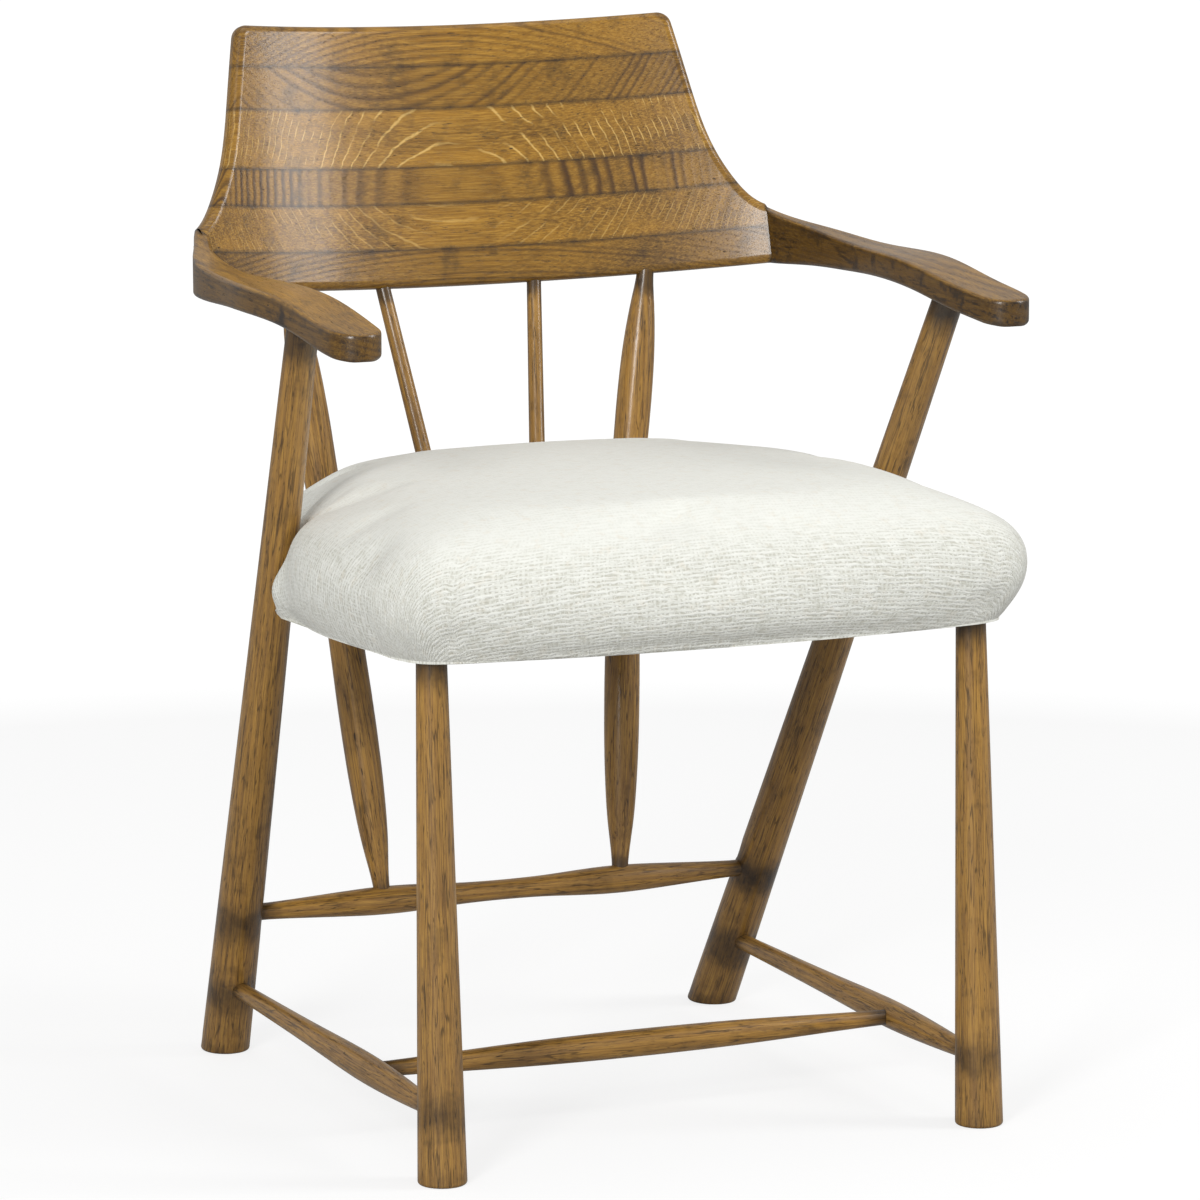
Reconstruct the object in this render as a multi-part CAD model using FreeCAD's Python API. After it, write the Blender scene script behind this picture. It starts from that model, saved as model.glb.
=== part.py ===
import FreeCAD, Part
import math
import os

Vector = FreeCAD.Vector
UP = Vector(0, 0, 1)
ORIGIN = Vector(0, 0, 0)

# A captains chair in turned and glued-up oak, with a padded fabric seat.
# Lengths are in millimetres and angles in degrees. The chair faces -Y, and its left is -X.
# Y is measured here from the middle of the feet, and the finished chair is centred at the end.

# Widths: the seat's widest half sets the rest, each so far inside or outside its neighbour
SEAT_WIDEST_HALF_WIDTH = 279.0
SEAT_FRONT_INSIDE_WIDEST = 10.0
SEAT_POST_INSIDE_WIDEST = 33.0
SEAT_BACK_INSIDE_POST = 49.0
REAR_RAIL_INSIDE_SEAT = 10.0
LEG_FOOT_INSIDE_FRONT = 40.4
LEG_TOP_INSIDE_FRONT = 41.5
POST_FOOT_INSIDE_SEAT = 24.3
POST_TOP_OUTSIDE_SEAT = 30.3
ARM_REST_INSIDE_POST = 5.3
BACK_JOINT_INSIDE_ARM = 20.0
BACK_TOP_INSIDE_JOINT = 56.0
SEAT_FRONT_HALF_WIDTH = SEAT_WIDEST_HALF_WIDTH - SEAT_FRONT_INSIDE_WIDEST
SEAT_POST_HALF_WIDTH = SEAT_WIDEST_HALF_WIDTH - SEAT_POST_INSIDE_WIDEST
SEAT_BACK_HALF_WIDTH = SEAT_POST_HALF_WIDTH - SEAT_BACK_INSIDE_POST

# Front legs: straight tapers, tenoned up into the seat's front corners
LEG_FOOT_X = SEAT_FRONT_HALF_WIDTH - LEG_FOOT_INSIDE_FRONT
LEG_FOOT_Y = -240.9
LEG_TOP_X = SEAT_FRONT_HALF_WIDTH - LEG_TOP_INSIDE_FRONT
LEG_TOP_Y = -220.7
LEG_FOOT_RADIUS = 19.0
LEG_TOP_RADIUS = 11.8
LEG_TENON_RADIUS = 9.0

# Rear posts: raked forward from the rear feet, past the seat, to the arms
POST_FOOT_X = SEAT_POST_HALF_WIDTH - POST_FOOT_INSIDE_SEAT
POST_FOOT_Y = 240.9
POST_TOP_X = SEAT_POST_HALF_WIDTH + POST_TOP_OUTSIDE_SEAT
POST_TOP_Y = -86.7
POST_TOP_Z = 638.0
POST_FOOT_RADIUS = 20.0
POST_TOP_RADIUS = 12.5
POST_FLAT_DEPTH = 5.0
POST_TENON_RADIUS = 8.0
POST_TENON_LENGTH = 13.0
FOOT_EDGE_RADIUS = 2.5

# Seat plan
SEAT_FRONT_Y = -275.0
SEAT_FRONT_BOW = 16.0
SEAT_BACK_Y = 191.0
SEAT_FRONT_CORNER = 28.0
SEAT_WIDEST_Y = -90.0
SEAT_POST_Y = 60.0
SEAT_BACK_CORNER = 13.0

# Seat frame, from the floor up
SEAT_UNDERSIDE_Z = 400.0
RAIL_HEIGHT = 36.0
RAIL_THICKNESS = 28.0
RAIL_INSET = 17.5
CORNER_BLOCK_LENGTH = 70.0
REAR_RAIL_FRONT_Y = 165.0
REAR_RAIL_BACK_Y = 240.0
REAR_RAIL_HALF_LENGTH = SEAT_BACK_HALF_WIDTH - REAR_RAIL_INSIDE_SEAT
REAR_RAIL_CORNER = 24.0
REAR_RAIL_EDGE = 3.0
DECK_THICKNESS = 8.0
DECK_INSET = 19.5
DUST_COVER_THICKNESS = 1.2
DUST_COVER_INSET = 21.0

# Seat cushion: crowned foam under a fabric cover
CROWN_Z = 504.0
COVER_THICKNESS = 2.2
COVER_CLEARANCE = 0.3
POST_NOTCH_CLEARANCE = 1.2

# Stretchers
SIDE_STRETCHER_REAR_Z = 60.4
SIDE_STRETCHER_FRONT_Z = 53.5
SIDE_STRETCHER_END_RADIUS = 6.8
SIDE_STRETCHER_SWELL = 11.4
CROSS_STRETCHER_SHARE = 0.68
CROSS_STRETCHER_END_RADIUS = 6.2
CROSS_STRETCHER_SWELL = 10.9
REAR_STRETCHER_Z = 127.5
REAR_STRETCHER_END_RADIUS = 7.0
REAR_STRETCHER_SWELL = 11.6
REAR_STRETCHER_WAIST = 8.3
SOCKET_SHORT_OF_AXIS = 5.0
SOCKET_CLEARANCE = 0.15

# Long back spindles: stretcher to back, steamed to a slight bend where they pass the seat
LONG_SPINDLE_X = 106.5
LONG_SPINDLE_SEAT_X = 131.5
LONG_SPINDLE_SEAT_Y = 223.0
LONG_SPINDLE_SEAT_Z = 425.0
LONG_SPINDLE_TOP_X = 160.1
LONG_SPINDLE_TOP_Y = 241.5
LONG_SPINDLE_RADIUS = 14.5
LONG_SPINDLE_END_RADIUS = 7.1
LONG_SPINDLE_TENON_RADIUS = 5.0
LONG_SPINDLE_TENON_END = 5.0
TENON_PAST_AXIS = 3.0

# Short back spindles: rear rail to back
SHORT_SPINDLE_FOOT_X = 44.0
SHORT_SPINDLE_FOOT_Y = 201.0
SHORT_SPINDLE_TOP_X = 67.5
SHORT_SPINDLE_TOP_Y = 263.4
SHORT_SPINDLE_FOOT_RADIUS = 6.8
SHORT_SPINDLE_TOP_RADIUS = 6.0
SHORT_SPINDLE_TENON_RADIUS = 4.5
SHORT_SPINDLE_TENON_LENGTH = 12.0
SPINDLE_TENON_ROOT = 34.0

# Arms: each is carved from the tall thin joint to a broad flat rest with a half-round nose
ARM_WIDTH = 46.0
ARM_THICKNESS = 21.0
ARM_REST_X = POST_TOP_X - ARM_REST_INSIDE_POST
ARM_REST_Z = 649.6
ARM_TIP_Y = -204.0
ARM_TIP_Z = 634.2
ARM_NOSE_WIDTH = 42.0
ARM_NOSE_LENGTH = 24.0
ARM_NOSE_ANGLES = (0, 20, 40, 58, 72, 82, 88)
ARM_NOSE_EDGE = 2.0
ARM_EDGE_RADIUS = 3.0

# Back: six boards glued edge to edge, hollowed to a cylinder and leaned back
BACK_BOTTOM_Y = 268.0
BACK_BOTTOM_Z = 620.0
BACK_LEAN = 12.0
BACK_CURVE_RADIUS = 466.0
BACK_THICKNESS = 16.5
BACK_EDGE_RADIUS = 6.5
BACK_HEIGHT = 217.0
BACK_JOINT_X = ARM_REST_X - BACK_JOINT_INSIDE_ARM
BACK_TOP_HALF_WIDTH = BACK_JOINT_X - BACK_TOP_INSIDE_JOINT
BACK_TOP_CORNER = 12.0
BACK_TOP_SLOPE = 12.0
BACK_JOINT_HEIGHT = 50.0
BACK_BOARD_SEAMS = (31.0, 68.0, 99.0, 147.0, 183.0)

# Dowels, screws and bolts
DOWEL_RADIUS = 4.0
RAIL_DOWEL_LENGTH = 44.0
ARM_DOWEL_RADIUS = 2.5
ARM_DOWEL_IN_BACK = 9.0
ARM_DOWEL_IN_ARM = 6.0
ARM_DOWEL_ANGLE = 45.0
ARM_DOWEL_HEIGHTS = (13.0, 35.0)
SCREW_RADIUS = 2.0
SCREW_HEAD_RADIUS = 4.0
SCREW_LENGTH = 28.0
SCREW_BEHIND_BLOCK = 30.0
SCREW_BEFORE_REAR_RAIL = 60.0
BOLT_RADIUS = 3.0
BOLT_HEAD_RADIUS = 7.0
BOLT_HEAD_HEIGHT = 4.0
BOLT_DEPTH_IN_POST = 16.0
BOLT_WEB = 12.0

RAIL_TOP_Z = SEAT_UNDERSIDE_Z + RAIL_HEIGHT
DECK_TOP_Z = RAIL_TOP_Z + DECK_THICKNESS
RAIL_MIDDLE_Z = SEAT_UNDERSIDE_Z + RAIL_HEIGHT / 2
PROFILE_TOLERANCE = 0.1
BIG = 2000.0
SIDES = (("left", -1), ("right", 1))


def mirrored(shape, side):
    """The shape itself on the right, and its mirror image on the left."""
    if side > 0:
        return shape
    return shape.mirror(ORIGIN, Vector(1, 0, 0))


def point_at_height(start, end, height):
    """Point at a height on the line through two points."""
    return start + (end - start) * ((height - start.z) / (end.z - start.z))


def rod(start, end, radius):
    """Straight cylinder from one point to another."""
    return Part.makeCylinder(radius, (end - start).Length, start, end - start)


def tapered_rod(start, end, start_radius, end_radius):
    """Straight cone from one point to another."""
    return Part.makeCone(start_radius, end_radius, (end - start).Length, start, end - start)


def box_between(low, high):
    """Box from its lowest corner to its highest."""
    size = high - low
    return Part.makeBox(size.x, size.y, size.z, low)


def placed_along(shape, start, direction):
    """Shape drawn up from the origin, stood at a point along a direction."""
    shape.Placement = FreeCAD.Placement(start, FreeCAD.Rotation(UP, direction))
    return shape


def turning(start, end, stations):
    """Body turned about a line, whose radius follows smoothly through (share of the line, radius) stations."""
    length = (end - start).Length
    curve_points = [Vector(radius, 0, share * length) for share, radius in stations]
    curve = Part.BSplineCurve()
    curve.interpolate(curve_points)
    outline = [arc.toShape() for arc in curve.toBiArcs(PROFILE_TOLERANCE)]
    path = [curve_points[-1], Vector(0, 0, curve_points[-1].z), Vector(0, 0, curve_points[0].z), curve_points[0]]
    lines = [Part.makeLine(a, b) for a, b in zip(path, path[1:])]
    profile = Part.Face(Part.Wire(Part.__sortEdges__(outline + lines)))
    return placed_along(profile.revolve(ORIGIN, UP, 360), start, end - start)


def turned(start, end, tenon_length, stations):
    """Turned rod between straight tenons, with its stations as shares of the length between them."""
    along = (end - start).normalize()
    low = start + along * tenon_length
    high = end - along * tenon_length
    body = turning(low, high, stations)
    foot = rod(start, low, stations[0][1])
    top = rod(high, end, stations[-1][1])
    return body.fuse([foot, top])


def with_rounded_foot(body):
    """Leg cut level with the floor, with its bottom edge rounded."""
    below = box_between(Vector(-BIG, -BIG, -BIG), Vector(BIG, BIG, 0))
    body = body.cut(below)
    foot = min(body.Faces, key=lambda face: face.CenterOfMass.z)
    return body.makeFillet(FOOT_EDGE_RADIUS, foot.Edges)


# Front leg

LEG_FOOT = Vector(LEG_FOOT_X, LEG_FOOT_Y, 0)
LEG_TOP = Vector(LEG_TOP_X, LEG_TOP_Y, SEAT_UNDERSIDE_Z)


def leg_radius(height):
    """Radius of the front leg's taper at a height."""
    return LEG_FOOT_RADIUS + (LEG_TOP_RADIUS - LEG_FOOT_RADIUS) * height / SEAT_UNDERSIDE_Z


def leg_tenon(radius):
    """Round tenon through the corner block, level with its top."""
    above = box_between(Vector(-BIG, -BIG, RAIL_TOP_Z), Vector(BIG, BIG, BIG))
    below = box_between(Vector(-BIG, -BIG, -BIG), Vector(BIG, BIG, SEAT_UNDERSIDE_Z))
    low = point_at_height(LEG_FOOT, LEG_TOP, SEAT_UNDERSIDE_Z - RAIL_HEIGHT)
    high = point_at_height(LEG_FOOT, LEG_TOP, RAIL_TOP_Z + RAIL_HEIGHT)
    return rod(low, high, radius).cut(above).cut(below)


def front_leg():
    """Tapered leg with a flat shoulder under the seat and a tenon above it."""
    low_z = -LEG_FOOT_RADIUS
    high_z = SEAT_UNDERSIDE_Z + LEG_TOP_RADIUS
    low = point_at_height(LEG_FOOT, LEG_TOP, low_z)
    high = point_at_height(LEG_FOOT, LEG_TOP, high_z)
    body = tapered_rod(low, high, leg_radius(low_z), leg_radius(high_z))
    above = box_between(Vector(-BIG, -BIG, SEAT_UNDERSIDE_Z), Vector(BIG, BIG, BIG))
    body = with_rounded_foot(body.cut(above))
    return body.fuse(leg_tenon(LEG_TENON_RADIUS))


# Rear post

POST_FOOT = Vector(POST_FOOT_X, POST_FOOT_Y, 0)
POST_TOP = Vector(POST_TOP_X, POST_TOP_Y, POST_TOP_Z)


def post_point(height):
    """Point on the rear post's axis at a height."""
    return point_at_height(POST_FOOT, POST_TOP, height)


def post_radius(height):
    """Radius of the rear post's taper at a height."""
    return POST_FOOT_RADIUS + (POST_TOP_RADIUS - POST_FOOT_RADIUS) * height / POST_TOP_Z


def post_taper(low_z, high_z, clearance):
    """Stretch of the post's cone between two heights, larger all round by a clearance."""
    low_radius = post_radius(low_z) + clearance
    high_radius = post_radius(high_z) + clearance
    return tapered_rod(post_point(low_z), post_point(high_z), low_radius, high_radius)


def post_flat_x():
    """Plane where the flat on the post meets the floor of the side rail's housing."""
    return post_point(RAIL_MIDDLE_Z).x - post_radius(RAIL_MIDDLE_Z) + POST_FLAT_DEPTH


def post_flat_block():
    """Block on the inner side of the flat, as tall as the side rail."""
    middle = post_point(RAIL_MIDDLE_Z)
    reach = 3 * POST_FOOT_RADIUS
    low = Vector(middle.x - reach, middle.y - reach, SEAT_UNDERSIDE_Z)
    high = Vector(post_flat_x(), middle.y + reach, RAIL_TOP_Z)
    return box_between(low, high)


def post_tenon(radius):
    """Round tenon from the post's top up into the arm."""
    direction = (POST_TOP - POST_FOOT).normalize()
    start = POST_TOP - direction * POST_TOP_RADIUS
    return rod(start, POST_TOP + direction * POST_TENON_LENGTH, radius)


def rear_post(arm_body):
    """Post coped to the arm's underside, with its tenon, its foot and the flat at the side rail."""
    body = post_taper(-POST_FOOT_RADIUS, POST_TOP_Z + POST_TOP_RADIUS, 0)
    body = with_rounded_foot(body).cut(arm_body)
    body = max(body.Solids, key=lambda solid: solid.Volume)
    body = body.cut(post_flat_block())
    return body.fuse(post_tenon(POST_TENON_RADIUS))


# Stretchers

def side_stretcher_ends():
    """Points on the rear post's axis and the front leg's axis that the side stretcher joins."""
    return post_point(SIDE_STRETCHER_REAR_Z), point_at_height(LEG_FOOT, LEG_TOP, SIDE_STRETCHER_FRONT_Z)


def side_stretcher_point(share):
    """Point on the side stretcher's axis, by its share of the way from the rear."""
    rear, front = side_stretcher_ends()
    return rear + (front - rear) * share


def side_stretcher():
    """Turned rail that swells towards the cross stretcher's socket."""
    rear, front = side_stretcher_ends()
    along = (front - rear).normalize()
    end = SIDE_STRETCHER_END_RADIUS
    swell = SIDE_STRETCHER_SWELL - end
    stations = (
        (0.0, end),
        (0.15, end + 0.18 * swell),
        (0.45, end + 0.62 * swell),
        (CROSS_STRETCHER_SHARE, end + swell),
        (0.86, end + 0.6 * swell),
        (1.0, end),
    )
    start = rear + along * SOCKET_SHORT_OF_AXIS
    finish = front - along * SOCKET_SHORT_OF_AXIS
    return turned(start, finish, POST_FOOT_RADIUS, stations)


def side_stretcher_sockets(radius):
    """Socket cylinders for both ends of the side stretcher."""
    rear, front = side_stretcher_ends()
    along = (front - rear).normalize()
    rear_socket = rod(rear + along * SOCKET_SHORT_OF_AXIS, rear + along * 2 * POST_FOOT_RADIUS, radius)
    front_socket = rod(front - along * 2 * LEG_FOOT_RADIUS, front - along * SOCKET_SHORT_OF_AXIS, radius)
    return rear_socket, front_socket


def cross_stretcher_half_length():
    """Distance from the middle to the blind end of the cross stretcher's tenon."""
    return side_stretcher_point(CROSS_STRETCHER_SHARE).x - SOCKET_SHORT_OF_AXIS


def cross_stretcher():
    """Turned rail between the side stretchers, fullest in the middle."""
    joint = side_stretcher_point(CROSS_STRETCHER_SHARE)
    half = cross_stretcher_half_length()
    end = CROSS_STRETCHER_END_RADIUS
    swell = CROSS_STRETCHER_SWELL - end
    rising = ((0.0, end), (0.12, end + 0.32 * swell), (0.26, end + 0.74 * swell), (0.5, end + swell))
    falling = tuple((1 - share, radius) for share, radius in reversed(rising[:-1]))
    start = Vector(-half, joint.y, joint.z)
    finish = Vector(half, joint.y, joint.z)
    return turned(start, finish, SIDE_STRETCHER_SWELL, rising + falling)


def cross_stretcher_socket(radius):
    """Socket cylinder in the right side stretcher for the cross stretcher's tenon."""
    joint = side_stretcher_point(CROSS_STRETCHER_SHARE)
    start = Vector(cross_stretcher_half_length(), joint.y, joint.z)
    return rod(start, start - Vector(2 * SIDE_STRETCHER_SWELL, 0, 0), radius)


def rear_stretcher_half_length():
    """Distance from the middle to the blind end of the rear stretcher's tenon."""
    return post_point(REAR_STRETCHER_Z).x - SOCKET_SHORT_OF_AXIS


def rear_stretcher():
    """Turned rail with a swelling under each long spindle and a slender waist between them."""
    axis = post_point(REAR_STRETCHER_Z)
    half = rear_stretcher_half_length()
    tenon = POST_FOOT_RADIUS
    end = REAR_STRETCHER_END_RADIUS
    swell = REAR_STRETCHER_SWELL - end
    waist = REAR_STRETCHER_SWELL - REAR_STRETCHER_WAIST
    knot = 0.5 * (1 - LONG_SPINDLE_X / (half - tenon))
    rising = (
        (0.0, end),
        (0.3 * knot, end + 0.3 * swell),
        (0.68 * knot, end + 0.76 * swell),
        (knot, REAR_STRETCHER_SWELL),
        (knot + 0.36 * (0.5 - knot), REAR_STRETCHER_SWELL - 0.3 * waist),
        (knot + 0.74 * (0.5 - knot), REAR_STRETCHER_SWELL - 0.95 * waist),
        (0.5, REAR_STRETCHER_WAIST),
    )
    falling = tuple((1 - share, radius) for share, radius in reversed(rising[:-1]))
    start = Vector(-half, axis.y, axis.z)
    finish = Vector(half, axis.y, axis.z)
    return turned(start, finish, tenon, rising + falling)


def rear_stretcher_socket(radius):
    """Socket cylinder in the right post for the rear stretcher's tenon."""
    axis = post_point(REAR_STRETCHER_Z)
    start = Vector(rear_stretcher_half_length(), axis.y, axis.z)
    return rod(start, start - Vector(2 * POST_FOOT_RADIUS, 0, 0), radius)


# Back

BACK_FRAME = FreeCAD.Placement(
    Vector(0, BACK_BOTTOM_Y, BACK_BOTTOM_Z),
    FreeCAD.Rotation(Vector(1, 0, 0), -BACK_LEAN),
)


def back_point(x, depth, height):
    """Point of the leaned back, from its own width, depth behind the curve's middle, and height."""
    return BACK_FRAME.multVec(Vector(x, depth, height))


def back_outline():
    """Front view of the back: straight foot, hollow shoulders and a straight top."""
    slope = math.radians(BACK_TOP_SLOPE)
    shoulder = BACK_HEIGHT - BACK_JOINT_HEIGHT
    hollow = BACK_JOINT_X - BACK_TOP_HALF_WIDTH
    hub = Vector(BACK_TOP_HALF_WIDTH - BACK_TOP_CORNER * math.cos(slope), 0, BACK_HEIGHT - BACK_TOP_CORNER)
    half_turn = (slope + math.pi / 2) / 2
    corner_start = hub + UP * BACK_TOP_CORNER
    corner_middle = hub + Vector(math.cos(half_turn), 0, math.sin(half_turn)) * BACK_TOP_CORNER
    corner_end = hub + Vector(math.cos(slope), 0, math.sin(slope)) * BACK_TOP_CORNER
    corner = Part.Arc(corner_start, corner_middle, corner_end)
    joint_end = Vector(panel_reach(), 0, BACK_JOINT_HEIGHT - 0.55 * BACK_THICKNESS)
    side_points = [
        corner_end,
        Vector(BACK_TOP_HALF_WIDTH + 0.18 * hollow, 0, BACK_JOINT_HEIGHT + 0.64 * shoulder),
        Vector(BACK_TOP_HALF_WIDTH + 0.43 * hollow, 0, BACK_JOINT_HEIGHT + 0.305 * shoulder),
        Vector(BACK_TOP_HALF_WIDTH + 0.65 * hollow, 0, BACK_JOINT_HEIGHT + 0.145 * shoulder),
        Vector(BACK_JOINT_X, 0, BACK_JOINT_HEIGHT),
        joint_end,
    ]
    leaving = Vector(math.sin(slope), 0, -math.cos(slope))
    arriving = Vector(1, 0, -0.2)
    side = Part.BSplineCurve()
    side.interpolate(side_points, InitialTangent=leaving, FinalTangent=arriving)
    end = Part.makeLine(joint_end, Vector(joint_end.x, 0, 0))
    right = [corner.toShape(), side.toShape(), end]
    left = [edge.mirror(ORIGIN, Vector(1, 0, 0)) for edge in right]
    foot = Part.makeLine(Vector(-joint_end.x, 0, 0), Vector(joint_end.x, 0, 0))
    top = Part.makeLine(Vector(-corner_start.x, 0, BACK_HEIGHT), corner_start)
    return Part.Face(Part.Wire(Part.__sortEdges__(right + left + [foot, top])))


def panel_reach():
    """Half width of the panel's blank, past the arm joints."""
    return BACK_JOINT_X + 2 * BACK_THICKNESS


def back_panel():
    """Whole back, curved, rounded along its edges and sawn off at both arm joints."""
    centre = Vector(0, -BACK_CURVE_RADIUS, -BACK_HEIGHT)
    tall = 3 * BACK_HEIGHT
    outer = Part.makeCylinder(BACK_CURVE_RADIUS + BACK_THICKNESS / 2, tall, centre, UP)
    inner = Part.makeCylinder(BACK_CURVE_RADIUS - BACK_THICKNESS / 2, tall, centre, UP)
    outline = back_outline()
    outline.translate(Vector(0, -BACK_CURVE_RADIUS / 2, 0))
    slab = outline.extrude(Vector(0, BACK_CURVE_RADIUS, 0))
    panel = slab.common(outer).cut(inner)
    panel = max(panel.Solids, key=lambda solid: solid.Volume)
    panel = panel.makeFillet(BACK_EDGE_RADIUS, long_edges(panel))
    between = box_between(Vector(-BACK_JOINT_X, -BIG, -BIG), Vector(BACK_JOINT_X, BIG, BIG))
    panel = panel.common(between)
    panel = max(panel.Solids, key=lambda solid: solid.Volume)
    panel.Placement = BACK_FRAME
    return panel


def long_edges(panel):
    """Edges of the hollow and the round face, except those at the blank's two ends."""
    found = []
    for face in panel.Faces:
        if not isinstance(face.Surface, Part.Cylinder) or face.Surface.Radius < BACK_CURVE_RADIUS / 2:
            continue
        for edge in face.Edges:
            if abs(edge.CenterOfMass.x) < panel_reach() - 1:
                found.append(edge)
    return found


def back_boards(panel):
    """The panel sawn into its boards along the glue lines."""
    levels = (-BACK_HEIGHT,) + BACK_BOARD_SEAMS + (2 * BACK_HEIGHT,)
    boards = []
    for low, high in zip(levels, levels[1:]):
        slice_box = box_between(Vector(-BIG, -BIG, low), Vector(BIG, BIG, high))
        slice_box.Placement = BACK_FRAME
        boards.append(panel.common(slice_box))
    return boards


# Arms

def rounded_section(centre, across, upward, width, height, radius):
    """Closed wire of a rectangle with round corners, in the plane of two directions."""
    half_width = width / 2 - radius
    half_height = height / 2 - radius
    diagonal = radius * math.sin(math.radians(45))
    edges = []
    corners = ((1, 1), (-1, 1), (-1, -1), (1, -1))
    starts = []
    ends = []
    for index, (right, top) in enumerate(corners):
        hub = centre + across * (right * half_width) + upward * (top * half_height)
        side_point = hub + across * (right * radius)
        top_point = hub + upward * (top * radius)
        middle = hub + across * (right * diagonal) + upward * (top * diagonal)
        first, last = (side_point, top_point) if index % 2 == 0 else (top_point, side_point)
        starts.append(first)
        ends.append(last)
        edges.append(Part.Arc(first, middle, last).toShape())
        if index > 0:
            edges.insert(-1, Part.makeLine(ends[index - 1], first))
    edges.append(Part.makeLine(ends[-1], starts[0]))
    return Part.Wire(edges)


def arm_stations():
    """Plan point, middle height, heading, width and height of each section after the joint."""
    half = ARM_WIDTH / 2
    rest = ARM_REST_X
    shaped = [
        (BACK_JOINT_X + 6.5, 180.0, 656.5, 62, BACK_THICKNESS - 2.5, 41.0),
        (BACK_JOINT_X + 13.8, 158.0, 655.0, 68, BACK_THICKNESS, 35.5),
        (rest + 1.0, 128.0, 653.7, 77, half, 30.0),
        (rest + 5.5, 85.0, 652.3, 88, half + 5, 25.0),
        (rest + 6.0, 40.0, 652.4, 91, half + 11, ARM_THICKNESS + 1.0),
        (rest + 5.5, -9.0, 652.9, 93, ARM_WIDTH - 2, ARM_THICKNESS),
        (rest + 1.0, -80.0, ARM_REST_Z, 92, ARM_WIDTH, ARM_THICKNESS),
        (rest + 0.5, -140.0, (ARM_REST_Z + ARM_TIP_Z) / 2, 90, ARM_WIDTH - 1, ARM_THICKNESS),
    ]
    nose = []
    for angle in ARM_NOSE_ANGLES:
        turn = math.radians(angle)
        y = ARM_TIP_Y + ARM_NOSE_LENGTH * (1 - math.sin(turn))
        rise = 0.12 * (y - ARM_TIP_Y)
        slim = ARM_NOSE_EDGE * max(0.0, angle - 58) / 30
        nose.append((rest + 2, y, ARM_TIP_Z + rise, 90, ARM_NOSE_WIDTH * math.cos(turn), ARM_THICKNESS - slim))
    return shaped + nose


def joint_section(panel):
    """Arm's first section: the sawn end of the back, so that the two faces are the same."""
    ends = [face for face in panel.Faces if abs(face.CenterOfMass.x - BACK_JOINT_X) < 0.01]
    return ends[0].OuterWire


def arm_body(panel):
    """Right arm lofted from the joint to the rounded nose."""
    sections = [joint_section(panel)]
    for index, (x, y, z, heading, width, height) in enumerate(arm_stations()):
        turn = math.radians(heading)
        across = Vector(math.sin(turn), math.cos(turn), 0)
        lean = math.radians(BACK_LEAN) * max(0.0, 1 - (index + 1) / 4)
        upward = Vector(0, math.sin(lean), math.cos(lean))
        upward = (upward - across * upward.dot(across)).normalize()
        radius = min(ARM_EDGE_RADIUS, 0.42 * width, 0.42 * height)
        sections.append(rounded_section(Vector(x, y, z), across, upward, width, height, radius))
    return Part.makeLoft(sections, True, False)


def arm_dowels():
    """Two dowels across each arm joint, halfway between the run of the back and of the arm."""
    depth = math.sqrt(BACK_CURVE_RADIUS ** 2 - BACK_JOINT_X ** 2) - BACK_CURVE_RADIUS
    outward = math.cos(math.radians(ARM_DOWEL_ANGLE))
    forward = math.sin(math.radians(ARM_DOWEL_ANGLE))
    dowels = []
    for height in ARM_DOWEL_HEIGHTS:
        ends = []
        for reach in (-ARM_DOWEL_IN_BACK, ARM_DOWEL_IN_ARM):
            ends.append(back_point(BACK_JOINT_X + reach * outward, depth - reach * forward, height))
        dowels.append(rod(ends[0], ends[1], ARM_DOWEL_RADIUS))
    return dowels


# Back spindles

def long_spindle_ends():
    """The long spindle's foot in the stretcher, its bend at the seat and its top in the back."""
    stretcher = post_point(REAR_STRETCHER_Z)
    foot = Vector(LONG_SPINDLE_X, stretcher.y, stretcher.z)
    seat = Vector(LONG_SPINDLE_SEAT_X, LONG_SPINDLE_SEAT_Y, LONG_SPINDLE_SEAT_Z)
    top = Vector(LONG_SPINDLE_TOP_X, LONG_SPINDLE_TOP_Y, BACK_BOTTOM_Z + BACK_THICKNESS)
    return foot, seat, top


def long_spindle_body(clearance):
    """Turned spindle bent where it passes the seat, larger all round by a clearance."""
    foot, seat, top = long_spindle_ends()
    full = LONG_SPINDLE_RADIUS + clearance
    end = LONG_SPINDLE_END_RADIUS + clearance
    slim = full - end
    lower = (
        (0.0, end),
        (0.055, end),
        (0.14, end + 0.42 * slim),
        (0.24, end + 0.76 * slim),
        (0.36, end + 0.97 * slim),
        (0.62, full),
        (0.86, full),
    )
    upper = (
        (0.12, full),
        (0.42, full),
        (0.65, end + 0.86 * slim),
        (0.84, end + 0.36 * slim),
        (0.96, end),
        (1.0, end),
    )
    below = turning(foot, seat, lower).fuse(rod(foot + (seat - foot) * lower[-1][0], seat, full))
    above = turning(seat, top, upper).fuse(rod(seat, seat + (top - seat) * upper[0][0], full))
    return below.fuse([above, Part.makeSphere(full, seat)])


def spindle_tenon(start, end, radius, length):
    """Round tenon that carries a spindle's line past its end."""
    direction = (end - start).normalize()
    return rod(end - direction * SPINDLE_TENON_ROOT, end + direction * length, radius)


def long_spindle_tenons(radius):
    """Tenons at the foot and the top of the long spindle."""
    foot, seat, top = long_spindle_ends()
    return spindle_tenon(seat, foot, radius, TENON_PAST_AXIS), spindle_tenon(seat, top, radius, LONG_SPINDLE_TENON_END)


def long_spindle(stretcher, back):
    """Long spindle coped to the stretcher and the back, with a tenon at each end."""
    body = long_spindle_body(0).cut(stretcher).cut(back)
    body = max(body.Solids, key=lambda solid: solid.Volume)
    foot, top = long_spindle_tenons(LONG_SPINDLE_TENON_RADIUS)
    return body.fuse([foot, top])


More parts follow.
